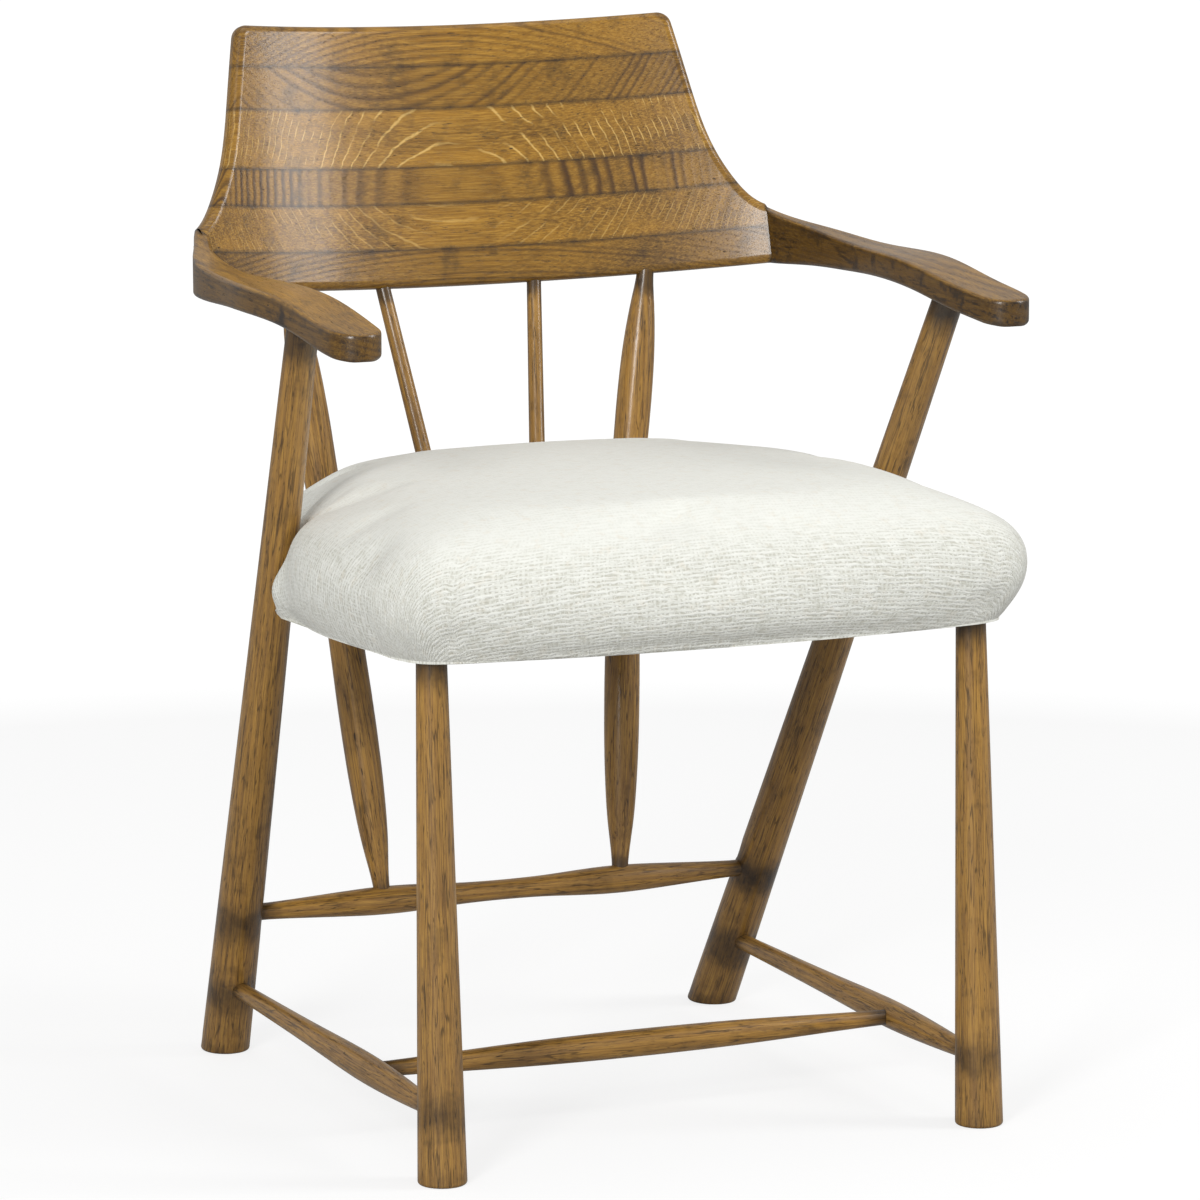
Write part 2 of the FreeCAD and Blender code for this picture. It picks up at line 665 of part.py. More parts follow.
def short_spindle_ends():
    """Foot on the rear rail's top and top end inside the back's foot."""
    foot = Vector(SHORT_SPINDLE_FOOT_X, SHORT_SPINDLE_FOOT_Y, RAIL_TOP_Z)
    top = Vector(SHORT_SPINDLE_TOP_X, SHORT_SPINDLE_TOP_Y, BACK_BOTTOM_Z)
    return foot, top + (top - foot).normalize() * BACK_EDGE_RADIUS


def short_spindle_tenons(radius):
    """Tenons at the foot and the top of the short spindle."""
    foot, top = short_spindle_ends()
    low = spindle_tenon(top, foot, radius, SHORT_SPINDLE_TENON_LENGTH)
    high = spindle_tenon(foot, top, radius, SHORT_SPINDLE_TENON_LENGTH)
    return low, high


def short_spindle(rail_blank, back):
    """Short spindle coped to the rail and the back, with a tenon at each end."""
    foot, top = short_spindle_ends()
    below = foot - (top - foot).normalize() * SHORT_SPINDLE_FOOT_RADIUS
    body = tapered_rod(below, top, SHORT_SPINDLE_FOOT_RADIUS, SHORT_SPINDLE_TOP_RADIUS)
    body = body.cut(rail_blank).cut(back)
    body = max(body.Solids, key=lambda solid: solid.Volume)
    low, high = short_spindle_tenons(SHORT_SPINDLE_TENON_RADIUS)
    return body.fuse([low, high])


# Seat frame

def seat_half_outline():
    """Right half of the seat's plan, from the middle of the front to the middle of the back."""
    corner = SEAT_FRONT_CORNER
    side_x = SEAT_FRONT_HALF_WIDTH
    corner_y = SEAT_FRONT_Y + SEAT_FRONT_BOW
    widest = SEAT_WIDEST_HALF_WIDTH
    bulge = widest - side_x
    run = SEAT_WIDEST_Y - corner_y
    flare = widest - SEAT_POST_HALF_WIDTH
    flare_run = SEAT_POST_Y - SEAT_WIDEST_Y
    back_x = SEAT_BACK_HALF_WIDTH
    round_back = SEAT_BACK_CORNER
    taper_x = SEAT_POST_HALF_WIDTH - back_x
    taper_y = SEAT_BACK_Y - SEAT_POST_Y
    return (
        (0, SEAT_FRONT_Y),
        (0.45 * side_x, SEAT_FRONT_Y + 0.18 * SEAT_FRONT_BOW),
        (side_x - 2.4 * corner, SEAT_FRONT_Y + 0.62 * SEAT_FRONT_BOW),
        (side_x - corner, corner_y),
        (side_x - 0.3 * corner, corner_y + 0.42 * corner),
        (side_x + 0.02 * corner, corner_y + 1.3 * corner),
        (side_x + 0.3 * bulge, corner_y + 0.42 * run),
        (side_x + 0.8 * bulge, corner_y + 0.72 * run),
        (widest, SEAT_WIDEST_Y),
        (widest - 0.14 * flare, SEAT_WIDEST_Y + 0.33 * flare_run),
        (widest - 0.6 * flare, SEAT_WIDEST_Y + 0.72 * flare_run),
        (SEAT_POST_HALF_WIDTH, SEAT_POST_Y),
        (back_x + 0.55 * taper_x, SEAT_POST_Y + 0.4 * taper_y),
        (back_x + 0.12 * taper_x, SEAT_POST_Y + 0.8 * taper_y),
        (back_x - 0.2 * round_back, SEAT_BACK_Y - 0.35 * round_back),
        (back_x - 1.6 * round_back, SEAT_BACK_Y),
        (0.5 * back_x, SEAT_BACK_Y + 0.5),
        (0, SEAT_BACK_Y + 0.5),
    )


def seat_section(inset, z):
    """Seat plan drawn smaller about its middle by an inset of its widest half, at a height."""
    share = 1 - inset / SEAT_WIDEST_HALF_WIDTH
    middle_y = (SEAT_FRONT_Y + SEAT_BACK_Y) / 2
    right = [Vector(x * share, middle_y + (y - middle_y) * share, z) for x, y in seat_half_outline()]
    left = [Vector(-point.x, point.y, z) for point in reversed(right[1:-1])]
    curve = Part.BSplineCurve()
    curve.interpolate(right + left, PeriodicFlag=True)
    return Part.Wire(curve.toShape())


def seat_plate(inset, low_z, high_z):
    """Flat plate of the seat's plan between two heights."""
    return Part.Face(seat_section(inset, low_z)).extrude(Vector(0, 0, high_z - low_z))


def frame_ring():
    """Seat frame in one piece, before it is cut into rails and corners."""
    outer = seat_plate(RAIL_INSET, SEAT_UNDERSIDE_Z, RAIL_TOP_Z)
    inner = seat_plate(RAIL_INSET + RAIL_THICKNESS, SEAT_UNDERSIDE_Z - 1, RAIL_TOP_Z + 1)
    return outer, outer.cut(inner)


def block_inner_x():
    """Plane where the front rail butts against a corner block."""
    return SEAT_FRONT_HALF_WIDTH - CORNER_BLOCK_LENGTH


def block_back_y():
    """Plane where a side rail butts against a corner block."""
    return SEAT_FRONT_Y + SEAT_FRONT_BOW + CORNER_BLOCK_LENGTH


def corner_block(outer):
    """Right front corner of the frame, bored for the leg's tenon."""
    low = Vector(block_inner_x(), -BIG, SEAT_UNDERSIDE_Z)
    high = Vector(BIG, block_back_y(), RAIL_TOP_Z)
    return outer.common(box_between(low, high)).cut(leg_tenon(LEG_TENON_RADIUS + SOCKET_CLEARANCE))


def front_rail(ring):
    """Bowed rail between the corner blocks."""
    low = Vector(-block_inner_x(), -BIG, SEAT_UNDERSIDE_Z)
    high = Vector(block_inner_x(), block_back_y(), RAIL_TOP_Z)
    return ring.common(box_between(low, high))


def side_rail(ring):
    """Right rail from the corner block to the rear rail, housed for the post."""
    low = Vector(REAR_RAIL_HALF_LENGTH - RAIL_THICKNESS, block_back_y(), SEAT_UNDERSIDE_Z)
    high = Vector(BIG, REAR_RAIL_FRONT_Y, RAIL_TOP_Z)
    rail = ring.common(box_between(low, high))
    housing = post_taper(SEAT_UNDERSIDE_Z - RAIL_HEIGHT, RAIL_TOP_Z + RAIL_HEIGHT, SOCKET_CLEARANCE)
    housing = housing.cut(post_flat_block())
    rail = rail.cut(housing)
    return max(rail.Solids, key=lambda solid: solid.Volume)


def rear_rail_blank():
    """Rear rail before boring, with its rear corners rounded."""
    low = Vector(-REAR_RAIL_HALF_LENGTH, REAR_RAIL_FRONT_Y, SEAT_UNDERSIDE_Z)
    high = Vector(REAR_RAIL_HALF_LENGTH, REAR_RAIL_BACK_Y, RAIL_TOP_Z)
    rail = box_between(low, high)
    corners = []
    for edge in rail.Edges:
        middle = edge.CenterOfMass
        if middle.y > REAR_RAIL_BACK_Y - 1 and abs(middle.x) > REAR_RAIL_HALF_LENGTH - 1:
            corners.append(edge)
    rail = rail.makeFillet(REAR_RAIL_CORNER, corners)
    rims = [edge for edge in rail.Edges if edge.CenterOfMass.y > REAR_RAIL_FRONT_Y + 1]
    level = [edge for edge in rims if edge.BoundBox.ZLength < 1]
    return rail.makeFillet(REAR_RAIL_EDGE, level)


def rear_rail(blank):
    """Rear rail bored for the long spindles that pass through it and the short ones that stand on it."""
    rail = blank
    for side in (-1, 1):
        rail = rail.cut(mirrored(long_spindle_body(SOCKET_CLEARANCE), side))
        low, high = short_spindle_tenons(SHORT_SPINDLE_TENON_RADIUS + SOCKET_CLEARANCE)
        rail = rail.cut(mirrored(low, side))
    return rail


def section_centre(solid, normal, distance):
    """Centre of the cut through a solid's right side at a plane."""
    wires = solid.slice(normal, distance)
    centres = [Part.Face(wire).CenterOfMass for wire in wires]
    return max(centres, key=lambda centre: centre.x)


def rail_dowels(front, side):
    """Pairs of dowels at both ends of each rail, one above the other."""
    across = Vector(1, 0, 0)
    along = Vector(0, 1, 0)
    joints = (
        (section_centre(front, across, block_inner_x() - 1) + across, across),
        (section_centre(side, along, block_back_y() + 1) - along, along),
        (section_centre(side, along, REAR_RAIL_FRONT_Y - 1) + along, along),
    )
    dowels = []
    for centre, direction in joints:
        for lift in (-0.25 * RAIL_HEIGHT, 0.25 * RAIL_HEIGHT):
            middle = Vector(centre.x, centre.y, RAIL_MIDDLE_Z + lift)
            reach = direction * (RAIL_DOWEL_LENGTH / 2)
            dowels.append(rod(middle - reach, middle + reach, DOWEL_RADIUS))
    return dowels


def post_bolt():
    """Bolt from inside the side rail into the right post."""
    centre = post_point(RAIL_MIDDLE_Z)
    flat_x = post_flat_x()
    inner_x = flat_x - BOLT_WEB
    head = rod(
        Vector(inner_x - BOLT_HEAD_HEIGHT, centre.y, centre.z),
        Vector(inner_x, centre.y, centre.z), BOLT_HEAD_RADIUS)
    shank = rod(
        Vector(inner_x, centre.y, centre.z),
        Vector(flat_x + BOLT_DEPTH_IN_POST, centre.y, centre.z), BOLT_RADIUS)
    return head.fuse(shank)


def bolt_pocket():
    """Counterbore in the side rail that lets the bolt's head in from the inside."""
    centre = post_point(RAIL_MIDDLE_Z)
    outer_x = post_flat_x() - BOLT_WEB
    inner_x = outer_x - RAIL_THICKNESS
    return rod(Vector(inner_x, centre.y, centre.z), Vector(outer_x, centre.y, centre.z), BOLT_HEAD_RADIUS + 1)


# Seat deck, cushion and dust cover

def screw_places(front, side):
    """Places of the deck screws, over the middles of the rails."""
    across = Vector(1, 0, 0)
    along = Vector(0, 1, 0)
    front_centre = section_centre(front, across, block_inner_x() / 2)
    places = [Vector(front_centre.x, front_centre.y, DECK_TOP_Z)]
    for y in (block_back_y() + SCREW_BEHIND_BLOCK, REAR_RAIL_FRONT_Y - SCREW_BEFORE_REAR_RAIL):
        centre = section_centre(side, along, y)
        places.append(Vector(centre.x, centre.y, DECK_TOP_Z))
    return places


def screw(place):
    """Countersunk wood screw with its head level with the deck."""
    head_height = SCREW_HEAD_RADIUS - SCREW_RADIUS
    head = Part.makeCone(SCREW_RADIUS, SCREW_HEAD_RADIUS, head_height, place - UP * head_height, UP)
    shank = rod(place - UP * head_height, place - UP * (SCREW_LENGTH - SCREW_RADIUS), SCREW_RADIUS)
    tip_start = place - UP * (SCREW_LENGTH - SCREW_RADIUS)
    tip = Part.makeCone(SCREW_RADIUS, 0, SCREW_RADIUS * 1.5, tip_start, UP * -1)
    return head.fuse([shank, tip])


def post_notches(clearance):
    """Both posts' cones through the seat, larger all round, for cutting what they pass."""
    notch = post_taper(SEAT_UNDERSIDE_Z - RAIL_HEIGHT, CROWN_Z + RAIL_HEIGHT, clearance)
    return [notch, mirrored(notch, -1)]


def seat_deck():
    """Board on the rails that carries the foam."""
    deck = seat_plate(DECK_INSET, RAIL_TOP_Z, DECK_TOP_Z)
    return deck.cut(post_notches(POST_NOTCH_CLEARANCE))


def crowned_solid(inset, bottom_z, crown_z):
    """Domed cushion shape: tucked in at the hem, fullest half way up, crowned on top."""
    hem = SEAT_UNDERSIDE_Z
    rise = crown_z - hem
    half = SEAT_WIDEST_HALF_WIDTH
    profile = (
        (0.0, 0.052),
        (0.1, 0.03),
        (0.26, 0.008),
        (0.44, 0.0),
        (0.6, 0.01),
        (0.73, 0.036),
        (0.83, 0.08),
        (0.9, 0.14),
        (0.95, 0.23),
        (0.985, 0.38),
        (1.0, 0.6),
    )
    sections = [seat_section(inset + share_in * half, hem + share_up * rise) for share_up, share_in in profile]
    dome = Part.makeLoft(sections, True, True)
    if bottom_z < hem:
        dome = dome.fuse(seat_plate(inset + profile[0][1] * half, bottom_z, hem))
    return dome


def seat_cushion():
    """Fabric cover, open below, and the foam inside it."""
    outer = crowned_solid(0, SEAT_UNDERSIDE_Z, CROWN_Z)
    inner = crowned_solid(COVER_THICKNESS, SEAT_UNDERSIDE_Z - 1, CROWN_Z - COVER_THICKNESS)
    filling = crowned_solid(
        COVER_THICKNESS + COVER_CLEARANCE, SEAT_UNDERSIDE_Z, CROWN_Z - COVER_THICKNESS - COVER_CLEARANCE)
    cutters = post_notches(POST_NOTCH_CLEARANCE)
    rail_space = box_between(
        Vector(-BIG, REAR_RAIL_FRONT_Y - COVER_CLEARANCE, SEAT_UNDERSIDE_Z - 1),
        Vector(BIG, BIG, RAIL_TOP_Z + COVER_CLEARANCE))
    cover = outer.cut(inner).cut(cutters + [rail_space])
    below_deck = box_between(Vector(-BIG, -BIG, 0), Vector(BIG, BIG, DECK_TOP_Z))
    foam = filling.cut(cutters + [below_deck])
    return cover, foam


def dust_cover():
    """Thin cloth under the frame, open round the legs and posts."""
    cloth = seat_plate(DUST_COVER_INSET, SEAT_UNDERSIDE_Z - DUST_COVER_THICKNESS, SEAT_UNDERSIDE_Z)
    cutters = post_notches(POST_NOTCH_CLEARANCE)
    for side in (-1, 1):
        low = point_at_height(LEG_FOOT, LEG_TOP, SEAT_UNDERSIDE_Z - RAIL_HEIGHT)
        high = point_at_height(LEG_FOOT, LEG_TOP, RAIL_TOP_Z)
        cutters.append(mirrored(rod(low, high, leg_radius(low.z) + POST_NOTCH_CLEARANCE), side))
    return cloth.cut(cutters)


# The whole chair

def build_chair():
    """Every piece by name."""
    pieces = {}
    panel = back_panel()
    arm = arm_body(panel)
    boards = back_boards(panel)
    stretcher = rear_stretcher()
    rail_blank = rear_rail_blank()
    outer, ring = frame_ring()
    front = front_rail(ring)
    side = side_rail(ring)
    dowels = rail_dowels(front, side)
    bolt = post_bolt()
    joint_dowels = arm_dowels()
    screws = [screw(place) for place in screw_places(front, side)]
    spindle_foot, spindle_top = long_spindle_tenons(LONG_SPINDLE_TENON_RADIUS + SOCKET_CLEARANCE)
    short_foot, short_top = short_spindle_tenons(SHORT_SPINDLE_TENON_RADIUS + SOCKET_CLEARANCE)
    rear_socket, front_socket = side_stretcher_sockets(SIDE_STRETCHER_END_RADIUS + SOCKET_CLEARANCE)
    cross_socket = cross_stretcher_socket(CROSS_STRETCHER_END_RADIUS + SOCKET_CLEARANCE)
    rear_rail_socket = rear_stretcher_socket(REAR_STRETCHER_END_RADIUS + SOCKET_CLEARANCE)

    leg = front_leg().cut(front_socket)
    post = rear_post(arm).cut([rear_socket, rear_rail_socket, bolt])
    rail = side.cut([bolt_pocket(), bolt] + dowels + screws)
    block = corner_block(outer).cut(dowels)
    side_bar = side_stretcher().cut(cross_socket)
    long_bar = long_spindle(stretcher, panel)
    short_bar = short_spindle(rail_blank, panel)
    arm = arm.cut([post_tenon(POST_TENON_RADIUS + SOCKET_CLEARANCE)] + joint_dowels)
    for name, direction in SIDES:
        pieces["front_leg_" + name] = mirrored(leg, direction)
        pieces["rear_post_" + name] = mirrored(post, direction)
        pieces["side_stretcher_" + name] = mirrored(side_bar, direction)
        pieces["long_spindle_" + name] = mirrored(long_bar, direction)
        pieces["short_spindle_" + name] = mirrored(short_bar, direction)
        pieces["arm_" + name] = mirrored(arm, direction)
        pieces["seat_corner_block_" + name] = mirrored(block, direction)
        pieces["seat_side_rail_" + name] = mirrored(rail, direction)

    both_dowels = dowels + [mirrored(dowel, -1) for dowel in dowels]
    both_screws = screws + [mirrored(one, -1) for one in screws]
    both_joint_dowels = joint_dowels + [mirrored(dowel, -1) for dowel in joint_dowels]
    pieces["cross_stretcher"] = cross_stretcher()
    pieces["rear_stretcher"] = stretcher.cut([spindle_foot, mirrored(spindle_foot, -1)])
    pieces["seat_front_rail"] = front.cut(both_dowels + both_screws)
    pieces["seat_rear_rail"] = rear_rail(rail_blank).cut(both_dowels)
    sockets = [spindle_top, mirrored(spindle_top, -1), short_top, mirrored(short_top, -1)]
    for number, board in enumerate(boards, 1):
        pieces["back_board_%d" % number] = board.cut(sockets + both_joint_dowels)
    pieces["seat_deck"] = seat_deck().cut(both_screws)
    cover, foam = seat_cushion()
    pieces["seat_foam"] = foam
    pieces["seat_cover"] = cover
    pieces["seat_dust_cover"] = dust_cover()
    pieces["deck_screws"] = Part.makeCompound(both_screws)
    pieces["rail_dowels"] = Part.makeCompound(both_dowels)
    pieces["arm_dowels"] = Part.makeCompound(both_joint_dowels)
    pieces["post_bolts"] = Part.makeCompound([bolt, mirrored(bolt, -1)])
    return pieces


def centring_shift(pieces):
    """Move that brings the middle of the chair's box over the origin, with the feet on the floor."""
    boxes = [piece.optimalBoundingBox(False, False) for piece in pieces.values()]
    middle_y = (min(box.YMin for box in boxes) + max(box.YMax for box in boxes)) / 2
    lowest = min(box.ZMin for box in boxes)
    return Vector(0, -middle_y, -lowest)


def main():
    """Write each piece to its own file, centred on the floor."""
    os.makedirs("parts", exist_ok=True)
    pieces = build_chair()
    shift = centring_shift(pieces)
    print("moved by", round(shift.y, 3), round(shift.z, 3))
    for name, piece in pieces.items():
        piece.translate(shift)
        piece.exportStep("parts/%s.step" % name)


main()
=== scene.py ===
"""Looks for a captains chair in dark-waxed oak with a padded seat in a coarse ivory cloth."""

import bpy
import bmesh
import math
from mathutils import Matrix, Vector


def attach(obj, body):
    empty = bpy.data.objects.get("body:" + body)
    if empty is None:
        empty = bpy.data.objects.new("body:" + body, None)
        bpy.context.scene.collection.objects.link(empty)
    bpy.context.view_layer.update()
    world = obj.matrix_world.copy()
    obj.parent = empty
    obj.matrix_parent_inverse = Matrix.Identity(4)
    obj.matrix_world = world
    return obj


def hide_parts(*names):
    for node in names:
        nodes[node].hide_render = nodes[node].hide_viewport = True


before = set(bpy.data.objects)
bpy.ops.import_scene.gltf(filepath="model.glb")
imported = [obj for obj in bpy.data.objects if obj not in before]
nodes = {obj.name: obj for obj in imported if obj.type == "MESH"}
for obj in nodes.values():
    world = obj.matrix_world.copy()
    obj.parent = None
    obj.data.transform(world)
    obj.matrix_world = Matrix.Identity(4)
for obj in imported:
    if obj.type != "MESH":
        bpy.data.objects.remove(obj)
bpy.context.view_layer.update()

MM = 0.001
ACROSS = Vector((1, 0, 0))
AHEAD = Vector((0, 1, 0))
UP = Vector((0, 0, 1))

# The part was drawn with its middle 22.422 mm further back than the shared frame has it
CENTRING = Vector((0, -22.422, 0)) * MM


def at(x, y, z):
    """Point in metres from a workshop measure in millimetres."""
    return Vector((x, y, z)) * MM + CENTRING


def paint(red, green, blue):
    """Colour as a shader wants it, from a colour as a screen shows it, 0 to 255."""
    shades = []
    for value in (red, green, blue):
        value /= 255
        if value <= 0.04045:
            shades.append(value / 12.92)
        else:
            shades.append(((value + 0.055) / 1.055) ** 2.4)
    return (*shades, 1)


# Shader sums, written as plain expressions

class Signal:
    """One socket of a finish, which can be added, multiplied and divided like a number."""

    def __init__(self, finish, socket):
        self.finish = finish
        self.socket = socket

    def math(self, operation, *others):
        """A sum that starts with this signal."""
        return self.finish.math(operation, self, *others)

    def __add__(self, other):
        return self.math("ADD", other)

    __radd__ = __add__

    def __sub__(self, other):
        return self.math("SUBTRACT", other)

    def __rsub__(self, other):
        return self.finish.math("SUBTRACT", other, self)

    def __mul__(self, other):
        return self.math("MULTIPLY", other)

    __rmul__ = __mul__

    def __truediv__(self, other):
        return self.math("DIVIDE", other)

    def fraction(self):
        """The part after the point."""
        return self.math("FRACT")

    def size(self):
        """The value without its sign."""
        return self.math("ABSOLUTE")

    def clear(self):
        """The value held between 0 and 1."""
        return self.math("MINIMUM", 1).math("MAXIMUM", 0)


class Finish:
    """A material made of nodes, with its shader and the ways to feed it."""

    def __init__(self, name, **constants):
        self.material = bpy.data.materials.new(name)
        self.material.use_nodes = True
        self.tree = self.material.node_tree
        self.shader = self.tree.nodes["Principled BSDF"]
        for socket, value in constants.items():
            self.shader.inputs[socket.replace("_", " ")].default_value = value

    def node(self, kind, settings=None, inputs=None, output=0):
        """A new node: its settings first, then its sockets, and the output that is wanted."""
        made = self.tree.nodes.new(kind)
        for name, value in (settings or {}).items():
            setattr(made, name, value)
        for socket, value in (inputs or {}).items():
            if isinstance(value, Signal):
                self.tree.links.new(value.socket, made.inputs[socket])
            else:
                made.inputs[socket].default_value = value
        return Signal(self, made.outputs[output])

    def math(self, operation, *values):
        """A sum of numbers or signals."""
        return self.node("ShaderNodeMath", {"operation": operation}, dict(enumerate(values)))

    def measure(self, operation, first, second=(0, 0, 0)):
        """A number from two vectors, such as their distance, or from one, such as its length."""
        return self.node(
            "ShaderNodeVectorMath", {"operation": operation}, {0: first, 1: second}, "Value")

    def place(self):
        """Where a point of the surface is, in metres."""
        return self.node("ShaderNodeTexCoord", output="Object")

    def facing(self):
        """Which way a point of the surface faces."""
        return self.node("ShaderNodeNewGeometry", output="Normal")

    def along(self, place, direction, start=Vector((0, 0, 0))):
        """How far a place lies along a direction from a starting point."""
        return self.measure("DOT_PRODUCT", place, tuple(direction)) - direction.dot(start)

    def join(self, x, y, z):
        """Three numbers or signals as one vector."""
        return self.node("ShaderNodeCombineXYZ", None, {0: x, 1: y, 2: z})

    def cloud(self, place, scale=1.0, detail=2.0, roughness=0.5, colour=False):
        """Soft noise round a half, or three noises as a vector."""
        return self.node(
            "ShaderNodeTexNoise", None,
            {"Vector": place, "Scale": scale, "Detail": detail, "Roughness": roughness},
            "Color" if colour else "Fac")

    def step(self, value, low, high, start=0.0, end=1.0):
        """Smooth rise from one level to another as a value goes from low to high."""
        return self.node(
            "ShaderNodeMapRange", {"interpolation_type": "SMOOTHSTEP"},
            {"Value": value, "From Min": low, "From Max": high, "To Min": start, "To Max": end})

    def blend(self, share, first, second):
        """Mix of two colours. Sockets 6, 7 and output 2 are the mix node's colours."""
        return self.node(
            "ShaderNodeMix", {"data_type": "RGBA"}, {"Factor": share, 6: first, 7: second}, 2)

    def bump(self, height, distance, strength):
        """Normal of a relief, whose depth is a distance in metres."""
        return self.node(
            "ShaderNodeBump", None, {"Height": height, "Distance": distance, "Strength": strength})

    def feed(self, **sockets):
        """Link signals to the shader's sockets, and give back the material."""
        for socket, value in sockets.items():
            self.tree.links.new(value.socket, self.shader.inputs[socket.replace("_", " ")])
        return self.material


# Oak, with its colours from pale early wood to the dark wax in the hollows

OAK_PALE = paint(207, 157, 60)
OAK_MIDDLE = paint(165, 117, 30)
OAK_DEEP = paint(90, 58, 15)
OAK_FADED = paint(168, 134, 94)
OAK_PORE = paint(40, 25, 8)
OAK_RAY = paint(238, 196, 112)
GLAZE = paint(46, 31, 13)

# Lengths in metres, and how many rings keep the count above zero
FINE_WANDER = 1.6 * MM
GRAIN_DEPTH = 0.28 * MM
ARRIS_REACH = 5 * MM
JOINT_RAGGED = 30 * MM
JOINT_WAX = 0.75
RINGS_BELOW = 40
RAY_SHIFT = 31.3


def frame_round(direction):
    """A direction, and two more that are square to it and to each other."""
    direction = direction.normalized()
    helper = UP if abs(direction.z) < 0.7 else AHEAD
    side = direction.cross(helper).normalized()
    return direction, side, direction.cross(side)


def oak(name, start, end, ring_lean=(1.0, 0.25), ring_gap=4.0, ring_shift=0.0, wander=9.0,
        run_slope=0.0, bands=0.5, band_width=0.45, rays=0.0, ray_gap=2.4, pore_strength=0.75,
        vein_strength=0.65, fade=0.26, shade=0.0, smear=0.27, side_shade_and_wax=0.0, arris=0.0,
        joints=(), seed=0.0):
    """Open-pored oak under dark wax and satin lacquer, sawn from a log that runs from start to end.

    The growth rings: ring_lean turns them about the length, ring_gap is their width in mm,
    ring_shift moves them by a share of that width, wander is how far in mm they stray, and
    run_slope is how steeply they run out of the piece.
    The grain, as strengths from 0 to 1: bands for the dark part of each ring, which is
    band_width of its width, rays for light flecks that lie ray_gap mm apart, pore_strength for
    the pores, vein_strength for the dark veins, and fade for how far the wood has greyed.
    The dark wax and painted shade, as strengths: shade everywhere, which also paints the shade
    of pieces that stand away from the key lamp, smear in streaks of wax, side_shade_and_wax on all
    that doesn't face up, which is painted shade of the sides together with wax, arris along the
    edges, and joints, places with a reach in mm, where the wax was left thick.
    """
    finish = Finish(name, IOR=1.46, Coat_Weight=0.35, Coat_Roughness=0.17)
    place = finish.place()
    length, side, depth = frame_round(end - start)
    run = finish.along(place, length, start)
    across = finish.along(place, side, start)
    through = finish.along(place, depth, start)

    def grain(along_scale, cross_scale, detail, roughness=0.5):
        """Noise drawn out along the wood, with scales in cells to the metre."""
        cells = finish.join(run * along_scale + seed, across * cross_scale, through * cross_scale)
        return finish.cloud(cells, detail=detail, roughness=roughness)

    # Growth rings, as layers that stray from flat
    sway = grain(5, 14, 2.0)
    fine_sway = finish.cloud(finish.join(run * 26, across * 60 + seed, through * 60), detail=3.0)
    lean = Vector(ring_lean).normalized()
    ring_place = across * lean.x + through * lean.y
    ring_place = ring_place + (sway - 0.5) * wander * MM + (fine_sway - 0.5) * FINE_WANDER
    if run_slope:
        ring_place = ring_place + run * run_slope
    phase = ring_place / (ring_gap * MM) + ring_shift + RINGS_BELOW
    year = phase.fraction()
    uneven = finish.cloud(finish.join(phase * 0.37, run * 1.5 + seed, 0), detail=1.0)
    late = finish.step(year, 0.0, 0.28) * (1 - finish.step(year, 1 - band_width, 0.97))

    # Streaks, pores, knocks and veins
    streaks = grain(20, 950, 3.0, 0.6)
    tone = grain(4, 26, 3.0, 0.6)
    pore_cells = finish.join(run * 95, across * 1300 + seed, through * 1300)
    pore_field = finish.cloud(pore_cells, detail=2.0, roughness=0.7)
    pores = finish.step(pore_field, 0.56, 0.68) * (0.35 + 0.65 * (1 - late))
    specks = finish.cloud(
        finish.join(run * 42 + 7 + seed, across * 300, through * 300), detail=1.0)
    knocks = finish.step(specks, 0.765, 0.80)
    vein = 1 - finish.step((grain(9, 210, 2.0, 0.6) - 0.5).size(), 0.002, 0.026)

    wood = finish.blend(finish.step(tone, 0.3, 0.64) * 0.7 + 0.3, OAK_DEEP, OAK_MIDDLE)
    wood = finish.blend(finish.step(streaks, 0.36, 0.7) * 0.66, wood, OAK_PALE)
    band_share = (1 - late) * bands * finish.step(uneven, 0.32, 0.62)
    wood = finish.blend(band_share, wood, OAK_DEEP)
    if fade:
        wood = finish.blend(fade, wood, OAK_FADED)
    if rays:
        ray_phase = ring_place / (ray_gap * MM) + RAY_SHIFT + (fine_sway - 0.5) * 0.2
        line = 1 - finish.step((ray_phase.fraction() - 0.5).size(), 0.02, 0.1)
        patches = finish.cloud(finish.join(run * 16, across * 60, through * 60), detail=2.0)
        wood = finish.blend(line * finish.step(patches, 0.4, 0.58) * rays, wood, OAK_RAY)
    wood = finish.blend(pores * pore_strength, wood, OAK_PORE)
    wood = finish.blend(vein * vein_strength, wood, OAK_PORE)
    wood = finish.blend(knocks * 0.85, wood, OAK_PORE)

    # Dark wax, and painted shade on the sides that don't face up
    wax = finish.cloud(place, 46, detail=3.0, roughness=0.65)
    smears = grain(26, 210, 4.0, 0.7)
    dark = finish.step(wax, 0.5, 0.76) * 0.34 + finish.step(smears, 0.52, 0.7) * smear + shade
    for centre, reach in joints:
        away = finish.measure("DISTANCE", place, tuple(centre)) + (wax - 0.5) * JOINT_RAGGED
        dark = dark + (1 - finish.step(away, reach * 0.35 * MM, reach * MM)) * JOINT_WAX
    # Painted shade: all that doesn't face up is darkened because the sides lie in shade under the
    # lamps, together with wax gathered there
    if side_shade_and_wax:
        upright = finish.along(finish.facing(), UP)
        dark = dark + (1 - finish.step(upright, 0.1, 0.8)) * side_shade_and_wax
    if arris:
        eased = finish.node("ShaderNodeBevel", {"samples": 6}, {"Radius": ARRIS_REACH})
        turn = finish.measure("DISTANCE", eased, finish.facing())
        dark = dark + finish.step(turn, 0.06, 0.5) * arris
    wood = finish.blend(dark.clear(), wood, GLAZE)

